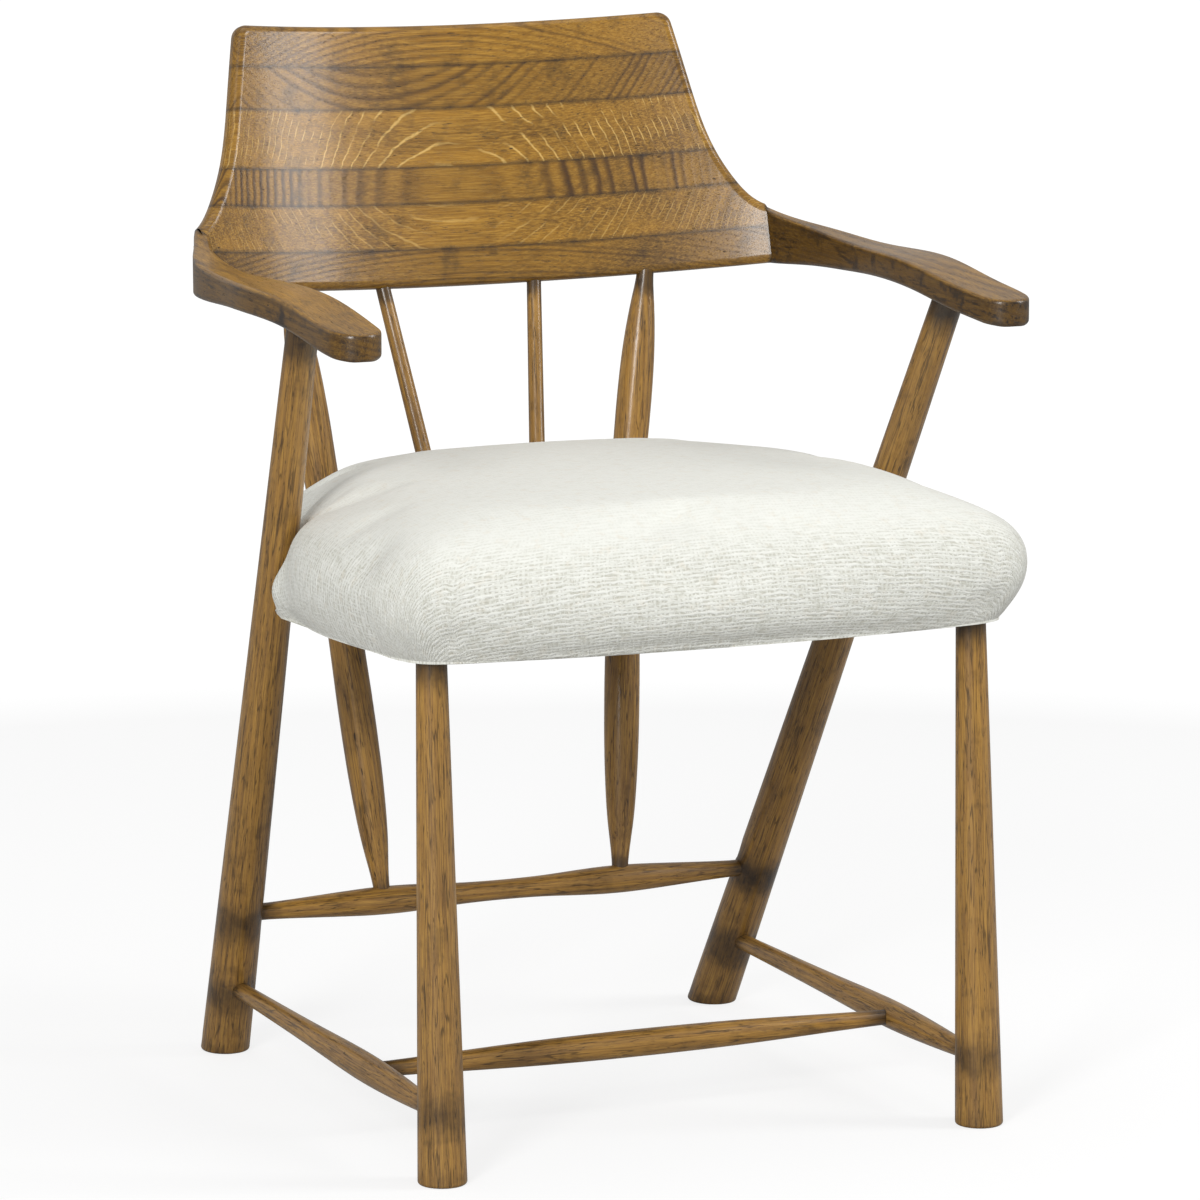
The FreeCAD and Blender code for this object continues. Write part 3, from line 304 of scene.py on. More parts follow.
    rough = 0.36 + pores * 0.3 + (streaks - 0.5) * 0.14 + knocks * 0.2
    relief = late * 0.25 + streaks * 0.3 - pores * 1.0 - knocks * 2.4
    return finish.feed(
        Base_Color=wood, Roughness=rough.clear(), Normal=finish.bump(relief, GRAIN_DEPTH, 0.55))


def dress(node, material):
    """Give a CAD piece its finish."""
    piece = nodes[node]
    piece.data.materials.clear()
    piece.data.materials.append(material)


# Plain finishes of the hidden and small pieces

PLY_PAIR = 1.6 * MM
DIMPLE_GAP = 2.4 * MM


def bare_wood(name, light, dark, direction):
    """Unfinished wood of the seat frame, with soft grain along its length."""
    finish = Finish(name, IOR=1.5)
    place = finish.place()
    length, side, depth = frame_round(direction)
    run = finish.along(place, length)
    across = finish.along(place, side)
    through = finish.along(place, depth)
    cells = finish.join(run * 14, across * 260, through * 260)
    grain = finish.cloud(cells, detail=4.0, roughness=0.65)
    broad = finish.cloud(finish.join(run * 3, across * 40, through * 40), detail=2.0)
    wood = finish.blend(finish.step(grain * 0.6 + broad * 0.4, 0.35, 0.65), dark, light)
    return finish.feed(
        Base_Color=wood, Roughness=0.62 + grain * 0.2, Normal=finish.bump(grain, 0.2 * MM, 0.4))


def layered_ply(name):
    """Plywood: a calm face veneer, and pale and dark layers along its edge."""
    finish = Finish(name, IOR=1.5)
    place = finish.place()
    height = finish.along(place, UP)
    layer = finish.step((height / PLY_PAIR).fraction(), 0.42, 0.58)
    run = finish.along(place, ACROSS)
    across = finish.along(place, AHEAD)
    cells = finish.join(run * 12, across * 220, height * 220)
    grain = finish.cloud(cells, detail=3.0, roughness=0.6)
    wood = finish.blend(grain, paint(196, 166, 120), paint(222, 196, 152))
    wood = finish.blend(layer * 0.45, wood, paint(150, 116, 76))
    return finish.feed(
        Base_Color=wood, Roughness=0.6 + grain * 0.2, Normal=finish.bump(grain, 0.15 * MM, 0.4))


def spun_cloth(name):
    """Thin black non-woven cloth under the seat, pricked with small dimples."""
    finish = Finish(name, IOR=1.45)
    place = finish.place()
    fibres = finish.cloud(place, 900, detail=4.0, roughness=0.7)
    across = (finish.along(place, ACROSS) / DIMPLE_GAP).fraction() - 0.5
    ahead = (finish.along(place, AHEAD) / DIMPLE_GAP).fraction() - 0.5
    dimple = 1 - finish.step(across * across + ahead * ahead, 0.02, 0.09)
    cloth = finish.blend(fibres, paint(26, 26, 27), paint(52, 52, 54))
    cloth = finish.blend(dimple * 0.5, cloth, paint(18, 18, 19))
    return finish.feed(
        Base_Color=cloth, Roughness=0.85 + fibres * 0.1,
        Normal=finish.bump(fibres - dimple, 0.2 * MM, 0.5))


def zinc_steel(name):
    """Bright zinc on the screws and bolts, faintly yellowed and scuffed."""
    finish = Finish(name, Metallic=1.0)
    place = finish.place()
    scuff = finish.cloud(place, 700, detail=4.0, roughness=0.7)
    broad = finish.cloud(place, 60, detail=2.0)
    colour = finish.blend(broad, paint(176, 178, 176), paint(196, 190, 166))
    return finish.feed(
        Base_Color=colour, Roughness=0.28 + scuff * 0.25, Normal=finish.bump(scuff, 0.05 * MM, 0.4))


def open_foam(name):
    """Cut polyurethane foam with its small cells."""
    finish = Finish(name, IOR=1.4)
    place = finish.place()
    cells = finish.node(
        "ShaderNodeTexVoronoi", None, {"Vector": place, "Scale": 700.0}, "Distance")
    tone = finish.cloud(place, 30, detail=2.0)
    colour = finish.blend(tone, paint(226, 214, 176), paint(240, 231, 200))
    colour = finish.blend(finish.step(cells, 0.1, 0.5) * 0.4, colour, paint(190, 176, 136))
    return finish.feed(
        Base_Color=colour, Roughness=0.9 - cells * 0.1, Normal=finish.bump(cells, 0.4 * MM, 0.5))


# Oak for each piece, cut so that the grain runs with its length. Places are workshop mm.

SIDES = (("left", -1), ("right", 1))

# A rear post's middle at its foot and at its top, for the right side, and its radii
POST_FOOT_X, POST_FOOT_Y = 221.7, 240.9
POST_TOP_X, POST_TOP_Y, POST_TOP_Z = 276.3, -86.7, 638
POST_FOOT_RADIUS = 20.0
POST_TOP_RADIUS = 12.5

# Heights at which the stretchers meet the rear posts
SIDE_STRETCHER_Z = 60.4
REAR_STRETCHER_Z = 127.5


def on_post(hand, height):
    """Place in metres on the middle line of a rear post."""
    foot = at(hand * POST_FOOT_X, POST_FOOT_Y, 0)
    top = at(hand * POST_TOP_X, POST_TOP_Y, POST_TOP_Z)
    return foot.lerp(top, height / POST_TOP_Z)


for side, hand in SIDES:
    foot = at(hand * 228.6, -240.9, 0)
    top = at(hand * 227.5, -220.7, 400)
    front_joint = at(hand * 228.4, -238.2, 53.5)
    dress("front_leg_" + side, oak(
        "oak_front_leg_" + side, foot, top, ring_lean=(0.6, hand * 0.8), ring_gap=5.2,
        ring_shift=0.3, bands=0.35, shade=-0.04,
        joints=((foot, 26), (front_joint, 30), (top, 34)), seed=11.0 + 5 * hand))

    foot = on_post(hand, 0)
    side_joint = on_post(hand, SIDE_STRETCHER_Z)
    rear_joint = on_post(hand, REAR_STRETCHER_Z)
    top = on_post(hand, POST_TOP_Z)
    dress("rear_post_" + side, oak(
        "oak_rear_post_" + side, foot, top, ring_lean=(hand * 0.9, 0.5), ring_gap=5.6,
        # The right post is darkened more than the left: painted shade, because it stands further
        # from the key lamp
        bands=0.45, shade=0.14 + hand * 0.08,
        joints=((foot, 30), (side_joint, 34), (rear_joint, 34), (top, 44)),
        seed=23.0 + 7 * hand))

    dress("side_stretcher_" + side, oak(
        "oak_side_stretcher_" + side, side_joint, front_joint, ring_lean=(0.3, 1),
        ring_gap=4.4, bands=0.5, shade=0.04,
        joints=((side_joint, 46), (front_joint, 46)), seed=31.0 + 3 * hand))

    foot = at(hand * 106.5, 175.5, 127.5)
    bend = at(hand * 131.5, 223.0, 425)
    top = at(hand * 160.1, 241.5, 620)
    dress("long_spindle_" + side, oak(
        "oak_long_spindle_" + side, foot, top, ring_lean=(1, 0.5), ring_gap=4.6, bands=0.6,
        joints=((foot, 26), (top, 22), (bend, 12)), seed=43.0 + 9 * hand))

    foot = at(hand * 44.0, 201.0, 436)
    top = at(hand * 67.5, 263.4, 620)
    dress("short_spindle_" + side, oak(
        "oak_short_spindle_" + side, foot, top, ring_lean=(0.4, 1), ring_gap=3.8, bands=0.6,
        shade=0.08, joints=((foot, 16), (top, 18)), seed=57.0 + 4 * hand))

    dress("arm_" + side, oak(
        "oak_arm_" + side, at(hand * 262, 190, 657), at(hand * 271, -204, 640),
        ring_lean=(0.35, 1), ring_gap=5.5, bands=0.5, vein_strength=0.3, fade=0.0,
        # The right arm is darkened more than the left: painted shade, because it stands further
        # from the key lamp. The darkening of the sides paints their shade, with wax
        shade=0.07 + hand * 0.07, smear=0.36, side_shade_and_wax=0.62, arris=0.7,
        joints=((at(hand * 276, -86, 640), 24),), seed=67.0 + 6 * hand))

rear_left = on_post(-1, REAR_STRETCHER_Z)
rear_right = on_post(1, REAR_STRETCHER_Z)
dress("rear_stretcher", oak(
    "oak_rear_stretcher", rear_left, rear_right, ring_lean=(0.5, 1), ring_gap=4.6, bands=0.5,
    joints=((rear_left, 40), (rear_right, 40)), seed=83.0))
cross_left = at(-226, -85, 56)
cross_right = at(226, -85, 56)
dress("cross_stretcher", oak(
    "oak_cross_stretcher", cross_left, cross_right, ring_lean=(1, 0.4), ring_gap=4.6,
    bands=0.55, shade=0.04, joints=((cross_left, 44), (cross_right, 44)), seed=91.0))

# The back's boards, 1 at the bottom. They share one log line across the back, and the lean
# of the rings makes the curved face cut them into arcs, stripes or flecks.

BACK_FOOT = at(0, 268, 620)

BOARDS = {
    1: dict(ring_lean=(0.3, -1), ring_gap=4.2, wander=4, bands=0.6, shade=0.33),
    2: dict(
        ring_lean=(1.02, -0.012), ring_gap=5.6, wander=3, bands=0.2, rays=0.4, ray_gap=2.6,
        shade=0.11),
    3: dict(
        ring_lean=(0.972, -0.237), ring_gap=3.1, wander=2.2, bands=1.0, band_width=0.55,
        pore_strength=0.5, shade=0.27),
    4: dict(
        ring_lean=(0.953, -0.324), ring_gap=4.8, wander=1.6, bands=0.12, rays=0.8, ray_gap=2.4,
        shade=0.11),
    5: dict(
        ring_lean=(1.051, 0.134), ring_gap=3.4, wander=2.6, run_slope=0.13, bands=0.7,
        shade=0.29),
    6: dict(ring_lean=(0.812, -0.99), ring_gap=3.6, wander=4.5, bands=0.6, shade=0.14),
}

for number, cut in BOARDS.items():
    dress("back_board_%d" % number, oak(
        "oak_back_board_%d" % number, BACK_FOOT, BACK_FOOT + ACROSS, vein_strength=0.2,
        fade=0.0, smear=0.18, arris=0.5, seed=101.0 + 7 * number, **cut))

# Hidden frame and fittings

RAIL_LIGHT = paint(205, 176, 132)
RAIL_DARK = paint(176, 142, 98)
DOWEL_LIGHT = paint(214, 188, 146)
DOWEL_DARK = paint(186, 154, 108)
for side, hand in SIDES:
    dress("seat_side_rail_" + side, bare_wood(
        "beech_side_rail_" + side, RAIL_LIGHT, RAIL_DARK, AHEAD))
    dress("seat_corner_block_" + side, bare_wood(
        "beech_corner_block_" + side, RAIL_LIGHT, RAIL_DARK, Vector((hand, 1, 0))))
dress("seat_front_rail", bare_wood("beech_front_rail", RAIL_LIGHT, RAIL_DARK, ACROSS))
dress("seat_rear_rail", oak(
    "oak_rear_rail", at(-187, 202, 418), at(187, 202, 418), ring_lean=(0.3, 1), ring_gap=4.5,
    seed=131.0))
dress("rail_dowels", bare_wood("beech_rail_dowels", DOWEL_LIGHT, DOWEL_DARK, ACROSS))
dress("arm_dowels", bare_wood("beech_arm_dowels", DOWEL_LIGHT, DOWEL_DARK, ACROSS))
dress("seat_deck", layered_ply("plywood_deck"))
dress("seat_dust_cover", spun_cloth("black_dust_cloth"))
zinc = zinc_steel("zinc_fittings")
dress("deck_screws", zinc)
dress("post_bolts", zinc)
dress("seat_foam", open_foam("foam_filling"))

# The seat cushion: cloth drawn tight over foam, tucked under at the hem and let in round the posts

# Its constants are workshop mm

SEAT_FRONT_Y = -275.0
SEAT_BACK_Y = 191.0
SEAT_WIDEST = 279.0
SEAT_MIDDLE = Vector((0, (SEAT_FRONT_Y + SEAT_BACK_Y) / 2))

# The cloth's lower edge, its turned-in underside, and the frame that it is drawn round
HEM_Z = 399.4
HEM_UNDER_Z = 399.0
HEM_WIDTH = 2.5
RAIL_FOOT_Z = 399.7
RAIL_CLEAR_INSET = 17.0
DECK_TOP_Z = 444.6
REAR_RAIL_Y = 164.0
REAR_RAIL_TOP_Z = 436.8

# The crown, and the number of rings of points from its middle to the hem. Towards the middle
# the rings change from the seat's outline to circles, as on a round seat of this radius.
CROWN_Z = 507.5
CROWN_REACH = 235.0
CROWN_BLEND = 1.25
RINGS = 56

# The cloth turns down where the profile is this share inside the widest line
TURN_DOWN = 0.10

# Share of the height above the hem, and share of the half width inside the widest line
CUSHION_PROFILE = (
    (1.0, 1.0), (0.997, 0.8), (0.987, 0.6), (0.962, 0.4), (0.93, 0.27), (0.884, 0.165),
    (0.82, 0.09), (0.73, 0.036), (0.61, 0.006), (0.45, -0.008), (0.3, -0.002), (0.14, 0.02),
    (0.0, 0.05))

SEAT_HALF_OUTLINE = (
    (0, -275), (121, -272.1), (201.8, -265.1), (241, -259), (260.6, -247.2), (269.6, -222.6),
    (272, -188), (277, -137.3), (279, -90), (274.4, -40.5), (259.2, 18), (246, 60),
    (224, 112.4), (202.9, 164.8), (194.4, 186.4), (176.2, 191), (98.5, 191.5), (0, 191.5))

# A rear post that presses into the cloth: its level cut is longer than wide, because it leans,
# and some room is left round it
POST_CUT = 0.9
POST_ROOM = 2.0

# The fuller ear in front of a post, which fades out between two heights, the shoulder drawn in
# above it, and the shorter corner behind it
EAR_LOW_Z = 426.0
EAR_TOP_Z = 458.0
EAR_Y = 4.0
EAR_LENGTH = 24
EAR_OUT = 14.0
SHOULDER_Y = 30
SHOULDER_LENGTH = 60
SHOULDER_IN = 7.0
BACK_CORNER_DROP = 13.0

# The fold that runs in from each post: how strong it is, where it starts and which way it goes
CREASE_STRENGTHS = ((-1, 1.0), (1, 0.6))
CREASE_START = (244, 42)
CREASE_HEADING = (-0.937, 0.35)
CREASE_DEPTH = 7.5
CREASE_LENGTH = 130
CREASE_WIDTH = 10
CREASE_LOW_Z = 455

# The cloth run
STRETCH_FRAMES = 20
STRETCH_CAP = 7.0


def smooth_line(points, share):
    """Point of a smooth open line through evenly counted points."""
    last = len(points) - 1
    reach = share * last
    index = min(int(reach), last - 1)
    t = reach - index
    a, b, c, d = (Vector(points[min(max(index + step, 0), last)]) for step in (-1, 0, 1, 2))
    return 0.5 * (
        (2 * b) + (c - a) * t + (2 * a - 5 * b + 4 * c - d) * t * t
        + (3 * b - a - 3 * c + d) * t ** 3)


def held_between(value, low, high):
    """The value, kept from going below low or above high."""
    return min(max(value, low), high)


def even_spacing(points, count, closed=False):
    """Points of a line laid out again at equal distances."""
    if closed:
        points = points + [points[0]]
    lengths = [0.0]
    for one, other in zip(points, points[1:]):
        lengths.append(lengths[-1] + (other - one).length)
    placed = []
    index = 0
    for step in range(count):
        want = lengths[-1] * step / (count if closed else count - 1)
        while index < len(lengths) - 2 and lengths[index + 1] < want:
            index += 1
        gap = lengths[index + 1] - lengths[index]
        share = (want - lengths[index]) / gap if gap else 0
        placed.append(points[index].lerp(points[index + 1], share))
    return placed


def seat_outline(count):
    """The seat's plan, in mm, as evenly spaced points, with the outward direction at each."""
    right = [smooth_line(SEAT_HALF_OUTLINE, step / 400) for step in range(401)]
    left = [Vector((-point.x, point.y)) for point in reversed(right[1:-1])]
    placed = even_spacing(right + left, count, closed=True)
    outward = []
    for index in range(count):
        ahead = placed[(index + 4) % count] - placed[index - 4]
        outward.append(Vector((ahead.y, -ahead.x)).normalized())
    return placed, outward


def cushion_profile(count):
    """Evenly spaced (height, inset) pairs in mm from the middle of the crown to the hem."""
    dense = [smooth_line(CUSHION_PROFILE, step / 600) for step in range(601)]
    in_mm = [Vector((HEM_Z + up * (CROWN_Z - HEM_Z), inset * SEAT_WIDEST)) for up, inset in dense]
    return even_spacing(in_mm, count)


def post_line(hand, height):
    """Middle and radius of a rear post at a height, in mm."""
    share = height / POST_TOP_Z
    centre = Vector((
        hand * (POST_FOOT_X + (POST_TOP_X - POST_FOOT_X) * share),
        POST_FOOT_Y + (POST_TOP_Y - POST_FOOT_Y) * share))
    return centre, POST_FOOT_RADIUS + (POST_TOP_RADIUS - POST_FOOT_RADIUS) * share


def clear_of_posts(point):
    """Moves a point of the cloth inwards where a rear post presses on it."""
    for hand in (-1, 1):
        centre, radius = post_line(hand, point.z)
        hollow = radius / POST_CUT + POST_ROOM
        off = abs(point.y - centre.y) * POST_CUT
        if off < hollow and hand * point.x > 0:
            limit = hand * centre.x - math.sqrt(hollow ** 2 - off ** 2)
            if hand * point.x > limit:
                point = Vector((hand * limit, point.y, point.z))
    return point


def clear_of_rear_rail(point):
    """Lifts the hem over the rear rail, which the cover stops at."""
    if point.y > REAR_RAIL_Y and point.z < REAR_RAIL_TOP_Z:
        return Vector((point.x, point.y, REAR_RAIL_TOP_Z))
    return point


def shaped_by_post(point):
    """Fills the cushion out low down in front of a post, and draws its shoulder in above."""
    rise = held_between((point.z - EAR_LOW_Z) / (EAR_TOP_Z - EAR_LOW_Z), 0.0, 1.0)
    rise = rise * rise * (3 - 2 * rise)
    ear = EAR_OUT * (1 - rise) * math.exp(-((point.y - EAR_Y) / EAR_LENGTH) ** 2)
    shoulder = SHOULDER_IN * rise * math.exp(-((point.y - SHOULDER_Y) / SHOULDER_LENGTH) ** 2)
    hand = 1 if point.x > 0 else -1
    side_share = held_between((abs(point.x) - 150) / 60, 0.0, 1.0)
    behind = held_between((point.y - 20) / 150, 0.0, 1.0)
    corner = behind * held_between((abs(point.x) - 90) / 130, 0.0, 1.0)
    return point + Vector((
        hand * (ear - shoulder) * side_share, 0, -BACK_CORNER_DROP * corner * rise))


def pull_crease(point):
    """Depth of the soft fold that runs in from a post over the cushion's shoulder."""
    depth = 0.0
    for hand, strength in CREASE_STRENGTHS:
        start = Vector((hand * CREASE_START[0], CREASE_START[1]))
        heading = Vector((hand * CREASE_HEADING[0], CREASE_HEADING[1]))
        away = Vector((point.x, point.y)) - start
        reach = away.dot(heading)
        off = away.dot(Vector((heading.y, -heading.x)))
        if -20 < reach < CREASE_LENGTH and point.z > CREASE_LOW_Z:
            fade = max(0.0, 1 - max(reach, 0) / CREASE_LENGTH) ** 1.4
            depth += strength * CREASE_DEPTH * fade * math.exp(-(off / CREASE_WIDTH) ** 2)
    return depth


def cushion_skin():
    """Outer skin of the cushion, as a grid made of square rings round its middle.

    Comes with each point's place on the flat cloth, which the weave is drawn on.
    """
    count = 16 * RINGS
    outline, outward = seat_outline(count)
    profile = cushion_profile(RINGS + 1)
    turn_ring = min(
        range(RINGS + 1), key=lambda ring: abs(profile[ring].y - TURN_DOWN * SEAT_WIDEST))
    drop = [0.0] * (RINGS + 1)
    for ring in range(turn_ring + 1, RINGS + 1):
        drop[ring] = drop[ring - 1] + (profile[ring] - profile[ring - 1]).length

    def between(line, share):
        """Value of a closed line at a share of the way round."""
        index = math.floor(share * count)
        return line[index % count].lerp(line[(index + 1) % count], share * count - index)

    def plan(ring, share):
        """Place of a ring's point seen from above, rounder towards the middle."""
        reach = between(outline, share) - SEAT_MIDDLE
        out = 1 - profile[ring].y / SEAT_WIDEST
        roundness = held_between(CROWN_BLEND - CROWN_BLEND * out, 0, 1)
        length = reach.length + (CROWN_REACH - reach.length) * roundness
        return SEAT_MIDDLE + reach.normalized() * length * out

    points = []
    flat = []
    for row in range(-RINGS, RINGS + 1):
        for line in range(-RINGS, RINGS + 1):
            ring = max(abs(row), abs(line))
            if ring == 0:
                points.append(Vector((SEAT_MIDDLE.x, SEAT_MIDDLE.y, CROWN_Z)))
                flat.append(SEAT_MIDDLE.copy())
                continue
            if row == -ring:
                walk = line
            elif line == ring:
                walk = 2 * ring + row
            elif row == ring:
                walk = 4 * ring - line
            else:
                walk = 6 * ring - row
            share = walk / (8 * ring)
            where = plan(ring, share)
            points.append(Vector((where.x, where.y, profile[ring].x)))
            if ring > turn_ring:
                flat.append(plan(turn_ring, share) + between(outward, share) * drop[ring])
            else:
                flat.append(where.copy())
    return points, flat


def rim_walk(half, ring):
    """Indices round one square ring of a grid whose middle row is numbered half."""
    walk = [(-ring, line) for line in range(-ring, ring)]
    walk += [(row, ring) for row in range(-ring, ring)]
    walk += [(ring, line) for line in range(ring, -ring, -1)]
    walk += [(row, -ring) for row in range(ring, -ring, -1)]
    return [(row + half) * (2 * half + 1) + line + half for row, line in walk]


def grid_faces(side):
    """Four-sided faces of a square grid of points."""
    faces = []
    for row in range(side - 1):
        for line in range(side - 1):
            corner = row * side + line
            faces.append([corner, corner + 1, corner + side + 1, corner + side])
    return faces


def finer_line(values):
    """The same smooth line with a new point between each two."""
    last = len(values) - 1
    finer = [values[0]]
    for index in range(last):
        before = values[max(index - 1, 0)]
        after = values[min(index + 2, last)]
        finer.append((9 * (values[index] + values[index + 1]) - before - after) / 16)
        finer.append(values[index + 1])
    return finer


def finer_grid(values, side):
    """The same smooth grid with twice as many points each way."""
    rows = [finer_line(values[start:start + side]) for start in range(0, side * side, side)]
    columns = [finer_line([row[index] for row in rows]) for index in range(2 * side - 1)]
    return [columns[index][row] for row in range(2 * side - 1) for index in range(2 * side - 1)]


def soften(points, faces, rounds, held):
    """Evens out a mesh's points a little, except those that are held."""
    links = [set() for _ in points]
    for face in faces:
        for one, other in zip(face, face[1:] + face[:1]):
            links[one].add(other)
            links[other].add(one)
    for _ in range(rounds):
        moved = []
        for index, point in enumerate(points):
            if index in held:
                moved.append(point)
                continue
            near = links[index]
            mean = sum((points[other] for other in near), Vector((0, 0, 0))) / len(near)
            moved.append(point.lerp(mean, 0.5))
        points = moved
    return points


def stretch_cover(points, faces, held):
    """Short cloth run, in which the padding pushes the cover out between its fixed edges."""
    mesh = bpy.data.meshes.new("cover_cloth")
    mesh.from_pydata([point * MM for point in points], [], faces)
    cover = bpy.data.objects.new("cover_cloth", mesh)
    bpy.context.collection.objects.link(cover)
    group = cover.vertex_groups.new(name="held")
    group.add(sorted(held), 1.0, "REPLACE")
    cloth = cover.modifiers.new("stretch", "CLOTH")
    cloth.settings.quality = 6
    cloth.settings.mass = 0.35
    cloth.settings.tension_stiffness = 60
    cloth.settings.compression_stiffness = 60
    cloth.settings.shear_stiffness = 25
    cloth.settings.bending_stiffness = 4
    cloth.settings.use_pressure = True
    cloth.settings.uniform_pressure_force = 4
    cloth.settings.vertex_group_mass = "held"
    cloth.settings.effector_weights.gravity = 0
    cloth.point_cache.frame_start = 1
    cloth.point_cache.frame_end = STRETCH_FRAMES
    for step in range(1, STRETCH_FRAMES + 1):
        bpy.context.scene.frame_set(step)
    posed = cover.evaluated_get(bpy.context.evaluated_depsgraph_get())
    swollen = [vertex.co / MM for vertex in posed.data.vertices]
    bpy.data.objects.remove(cover)
    bpy.context.scene.frame_set(1)
    capped = []
    for before, after in zip(points, swollen):
        move = after - before
        if move.length > STRETCH_CAP:
            move *= STRETCH_CAP / move.length
        capped.append(before + move)
    return capped


def make_cushion():
    """The closed cushion: skin, hem and the hollow underneath that the frame fills."""
    points, flat = cushion_skin()
    side = 2 * RINGS + 1
    faces = grid_faces(side)
    held = set(rim_walk(RINGS, RINGS) + rim_walk(RINGS, RINGS - 1))
    points = [clear_of_posts(shaped_by_post(point)) for point in points]
    points = stretch_cover(points, faces, held)
    points = [point - Vector((0, 0, pull_crease(point))) for point in points]
    points = soften(points, faces, 3, held)
    points = finer_grid(points, side)
    flat = finer_grid(flat, side)
    side = 2 * side - 1
    faces = grid_faces(side)
    points = [clear_of_rear_rail(clear_of_posts(point)) for point in points]

    rim = rim_walk(2 * RINGS, 2 * RINGS)
    outline, _ = seat_outline(len(rim))
    hem_inset = RAIL_CLEAR_INSET + HEM_WIDTH
    hollow = (
        (HEM_UNDER_Z, hem_inset), (RAIL_FOOT_Z, hem_inset), (RAIL_FOOT_Z, RAIL_CLEAR_INSET),
        (DECK_TOP_Z, RAIL_CLEAR_INSET))
    last = rim
    for height, inset in hollow:
        share = 1 - inset / SEAT_WIDEST
        ring = list(range(len(points), len(points) + len(rim)))
        for column, source in enumerate(rim):
            where = SEAT_MIDDLE + (outline[column] - SEAT_MIDDLE) * share
            inner = Vector((where.x, where.y, height))
            points.append(clear_of_rear_rail(clear_of_posts(inner)))
            flat.append(flat[source])
        for index in range(len(rim)):
            ahead = (index + 1) % len(rim)
            faces.append([last[index], ring[index], ring[ahead], last[ahead]])
        last = ring
    faces.append(last)

    mesh = bpy.data.meshes.new("seat_cushion")
    mesh.from_pydata([point * MM + CENTRING for point in points], [], faces)
    cloth_place = mesh.attributes.new(CLOTH_PLACE, "FLOAT_VECTOR", "POINT")
    for index, spot in enumerate(flat):
        cloth_place.data[index].vector = (spot.x * MM, spot.y * MM, 0)
    shaper = bmesh.new()
    shaper.from_mesh(mesh)
    bmesh.ops.recalc_face_normals(shaper, faces=shaper.faces)
    shaper.to_mesh(mesh)
    shaper.free()
    skin_faces = (side - 1) ** 2
    for face in mesh.polygons:
        face.use_smooth = face.index < skin_faces
    cushion = bpy.data.objects.new("seat_cushion", mesh)
    bpy.context.collection.objects.link(cushion)
    return cushion


# The cover's cloth, with lengths in metres. The photo shows the weave open on the cushion's
# sides, and close on its top.

CLOTH_PLACE = "cloth_place"
THREAD_GAP = 3.4 * MM
THREAD_DRIFT = 4.0 * MM
THREAD_WAVER = 2.4 * MM
THREAD_DEPTH = 0.8 * MM
OPEN_BELOW = 462 * MM
CLOSED_ABOVE = 494 * MM
THREAD_THIN = paint(226, 227, 217)
THREAD_FULL = paint(244, 245, 238)
THREAD_CREAM = paint(234, 227, 211)
THREAD_FUZZ = paint(208, 206, 196)
# Painted shade in the gaps between the threads
WEAVE_GAP_SHADE = paint(172, 168, 151)


def slub_cloth(name):
    """Coarse plain weave in ivory with thick and thin threads both ways."""
    finish = Finish(name, IOR=1.45, Sheen_Weight=0.15, Sheen_Roughness=0.5)
    place = finish.node("ShaderNodeAttribute", {"attribute_name": CLOTH_PLACE}, output="Vector")
    drift = finish.cloud(place, 24, detail=2.0, colour=True)
    waver = finish.cloud(place, 170, detail=1.0, colour=True)
    shift = []
    for direction in (ACROSS, AHEAD):
        drifted = (finish.along(drift, direction) - 0.5) * THREAD_DRIFT
        shift.append(drifted + (finish.along(waver, direction) - 0.5) * THREAD_WAVER)
    across = finish.along(place, ACROSS) + shift[0]
    ahead = finish.along(place, AHEAD) + shift[1]
    warp = across / THREAD_GAP
    weft = ahead / THREAD_GAP
    warp_cloud = finish.cloud(finish.join(warp * 1.7, ahead * 75, 3.0), detail=2.0)
    warp_slub = finish.step(warp_cloud, 0.34, 0.66)
    weft_cloud = finish.cloud(finish.join(across * 75, weft * 1.7, 9.0), detail=2.0)
    weft_slub = finish.step(weft_cloud, 0.32, 0.64)
    warp_round = 1 - ((warp.fraction() - 0.5).size() * 2).math("POWER", 2.0)
    weft_round = 1 - ((weft.fraction() - 0.5).size() * 2).math("POWER", 2.0)
    over = (warp * math.pi).math("SINE") * (weft * math.pi).math("SINE") * 0.5 + 0.5
    warp_height = warp_round * (0.2 + warp_slub * 0.9) * (1.1 - over * 0.5)
    weft_height = weft_round * (0.45 + weft_slub * 0.75) * (0.65 + over * 0.45)
    height = warp_height.math("MAXIMUM", weft_height)
    up = finish.along(finish.place(), UP)
    openness = finish.step(up, OPEN_BELOW, CLOSED_ABOVE, 1.0, 0.25)
    patch = finish.cloud(place, 330, detail=2.0, roughness=0.6)
    # The gaps between the threads are darkened: painted shade where the threads dip, stronger where
    # the weave is open
    gap = (1 - finish.step(height + (patch - 0.5) * 1.1, 0.12, 0.62)) * openness
    fuzz = finish.cloud(place, 1500, detail=3.0, roughness=0.7)
    tint = finish.cloud(place, 90, detail=3.0, roughness=0.65)
    threads = finish.blend(1 - (1 - weft_slub) * openness, THREAD_THIN, THREAD_FULL)
    threads = finish.blend(finish.step(tint, 0.52, 0.75) * 0.5, threads, THREAD_CREAM)
    threads = finish.blend(fuzz * 0.25, threads, THREAD_FUZZ)
    cloth = finish.blend(gap * 0.52, threads, WEAVE_GAP_SHADE)
    return finish.feed(
        Base_Color=cloth, Roughness=0.82 + fuzz * 0.12,
        Normal=finish.bump((height + fuzz * 0.12) * openness, THREAD_DEPTH, 0.7))


cushion = make_cushion()
cushion.data.materials.append(slub_cloth("ivory_slub_cloth"))
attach(cushion, "root")
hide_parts("seat_cover", "seat_foam")


# Floor, light and camera, in metres

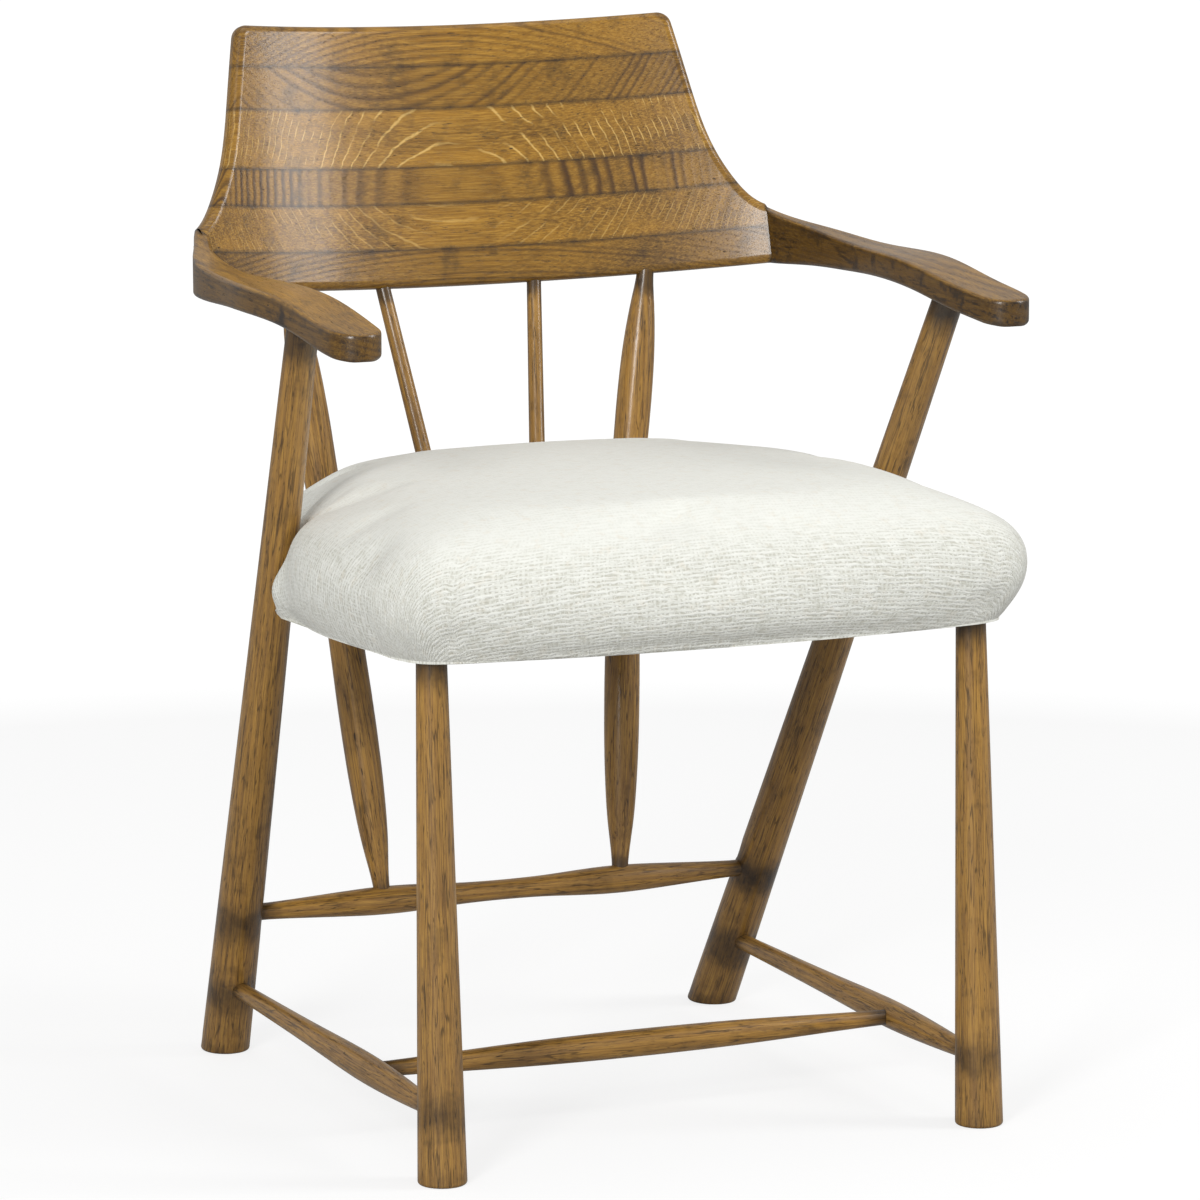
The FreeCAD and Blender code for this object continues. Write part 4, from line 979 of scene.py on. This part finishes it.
FLOOR_HALF = 30.0
FLOOR_LIFT = 1.06
FLOOR_LIFT_SHARE = 0.72
ROOM_LIGHT = 0.46


def seen_straight_on(finish):
    """One for camera and see-through rays, and zero for light on its way to the chair."""
    direct = finish.node("ShaderNodeLightPath", output="Is Camera Ray")
    through = finish.node("ShaderNodeLightPath", output="Is Transmission Ray")
    return (direct + through).clear()


def make_floor():
    """Plain white floor that keeps the chair's shadow and fades into the white behind."""
    mesh = bpy.data.meshes.new("floor")
    corners = [
        (-FLOOR_HALF, -FLOOR_HALF, 0), (FLOOR_HALF, -FLOOR_HALF, 0),
        (FLOOR_HALF, FLOOR_HALF, 0), (-FLOOR_HALF, FLOOR_HALF, 0)]
    mesh.from_pydata(corners, [], [(0, 1, 2, 3)])
    floor = bpy.data.objects.new("floor", mesh)
    bpy.context.collection.objects.link(floor)
    finish = Finish("white_floor", Roughness=0.9, Specular_IOR_Level=0.1)
    seen = seen_straight_on(finish)
    finish.feed(Base_Color=finish.blend(seen, (0.5, 0.5, 0.5, 1), (0.95, 0.95, 0.95, 1)))
    far = finish.step(finish.measure("LENGTH", finish.place()), 0.7, 2.2)
    lift = finish.node(
        "ShaderNodeEmission", None, {"Color": (1, 1, 1, 1), "Strength": FLOOR_LIFT})
    output = finish.tree.nodes["Material Output"]
    surface = Signal(finish, finish.shader.outputs[0])
    share = far.math("MAXIMUM", FLOOR_LIFT_SHARE) * seen
    mixed = finish.node("ShaderNodeMixShader", None, {0: share, 1: surface, 2: lift})
    finish.tree.links.new(mixed.socket, output.inputs["Surface"])
    mesh.materials.append(finish.material)


def softbox(name, place, target, size, power):
    """White rectangular lamp that faces a target."""
    lamp = bpy.data.lights.new(name, "AREA")
    lamp.shape = "RECTANGLE"
    lamp.size, lamp.size_y = size
    lamp.energy = power
    holder = bpy.data.objects.new(name, lamp)
    holder.location = place
    holder.rotation_euler = (Vector(target) - Vector(place)).to_track_quat("-Z", "Y").to_euler()
    bpy.context.collection.objects.link(holder)


def make_light():
    """Three softboxes, and a white room that is seen brighter than it lights the chair."""
    world = bpy.data.worlds.new("studio")
    world.use_nodes = True
    bpy.context.scene.world = world
    tree = world.node_tree
    background = tree.nodes["Background"]
    background.inputs["Color"].default_value = (1, 1, 1, 1)
    path = tree.nodes.new("ShaderNodeLightPath")
    seen = tree.nodes.new("ShaderNodeMath")
    seen.operation = "MAXIMUM"
    tree.links.new(path.outputs["Is Camera Ray"], seen.inputs[0])
    tree.links.new(path.outputs["Is Transmission Ray"], seen.inputs[1])
    level = tree.nodes.new("ShaderNodeMapRange")
    level.inputs["To Min"].default_value = ROOM_LIGHT
    level.inputs["To Max"].default_value = 1.0
    tree.links.new(seen.outputs[0], level.inputs["Value"])
    tree.links.new(level.outputs["Result"], background.inputs["Strength"])
    softbox("key_left", (-2.7, -2.9, 1.9), (0, 0, 0.6), (0.9, 1.6), 90)
    softbox("fill_right", (2.6, -1.4, 2.0), (0, 0, 0.5), (0.9, 1.8), 44)
    softbox("overhead", (0.2, 0.2, 3.0), (0, 0, 0.5), (1.8, 1.4), 7)


def make_camera():
    """Long lens from in front on the left, solved from the photo's mirror-image points."""
    lens = bpy.data.cameras.new("camera")
    lens.lens = 190.5
    lens.sensor_width = 36
    lens.clip_end = 200
    camera = bpy.data.objects.new("camera", lens)
    camera.location = at(-2029.4, -4556.7, 1213.3)
    camera.rotation_euler = (math.radians(80.7), 0, math.radians(-24.11))
    bpy.context.collection.objects.link(camera)
    bpy.context.scene.camera = camera


make_floor()
make_light()
make_camera()
bpy.context.scene.view_settings.view_transform = "Standard"
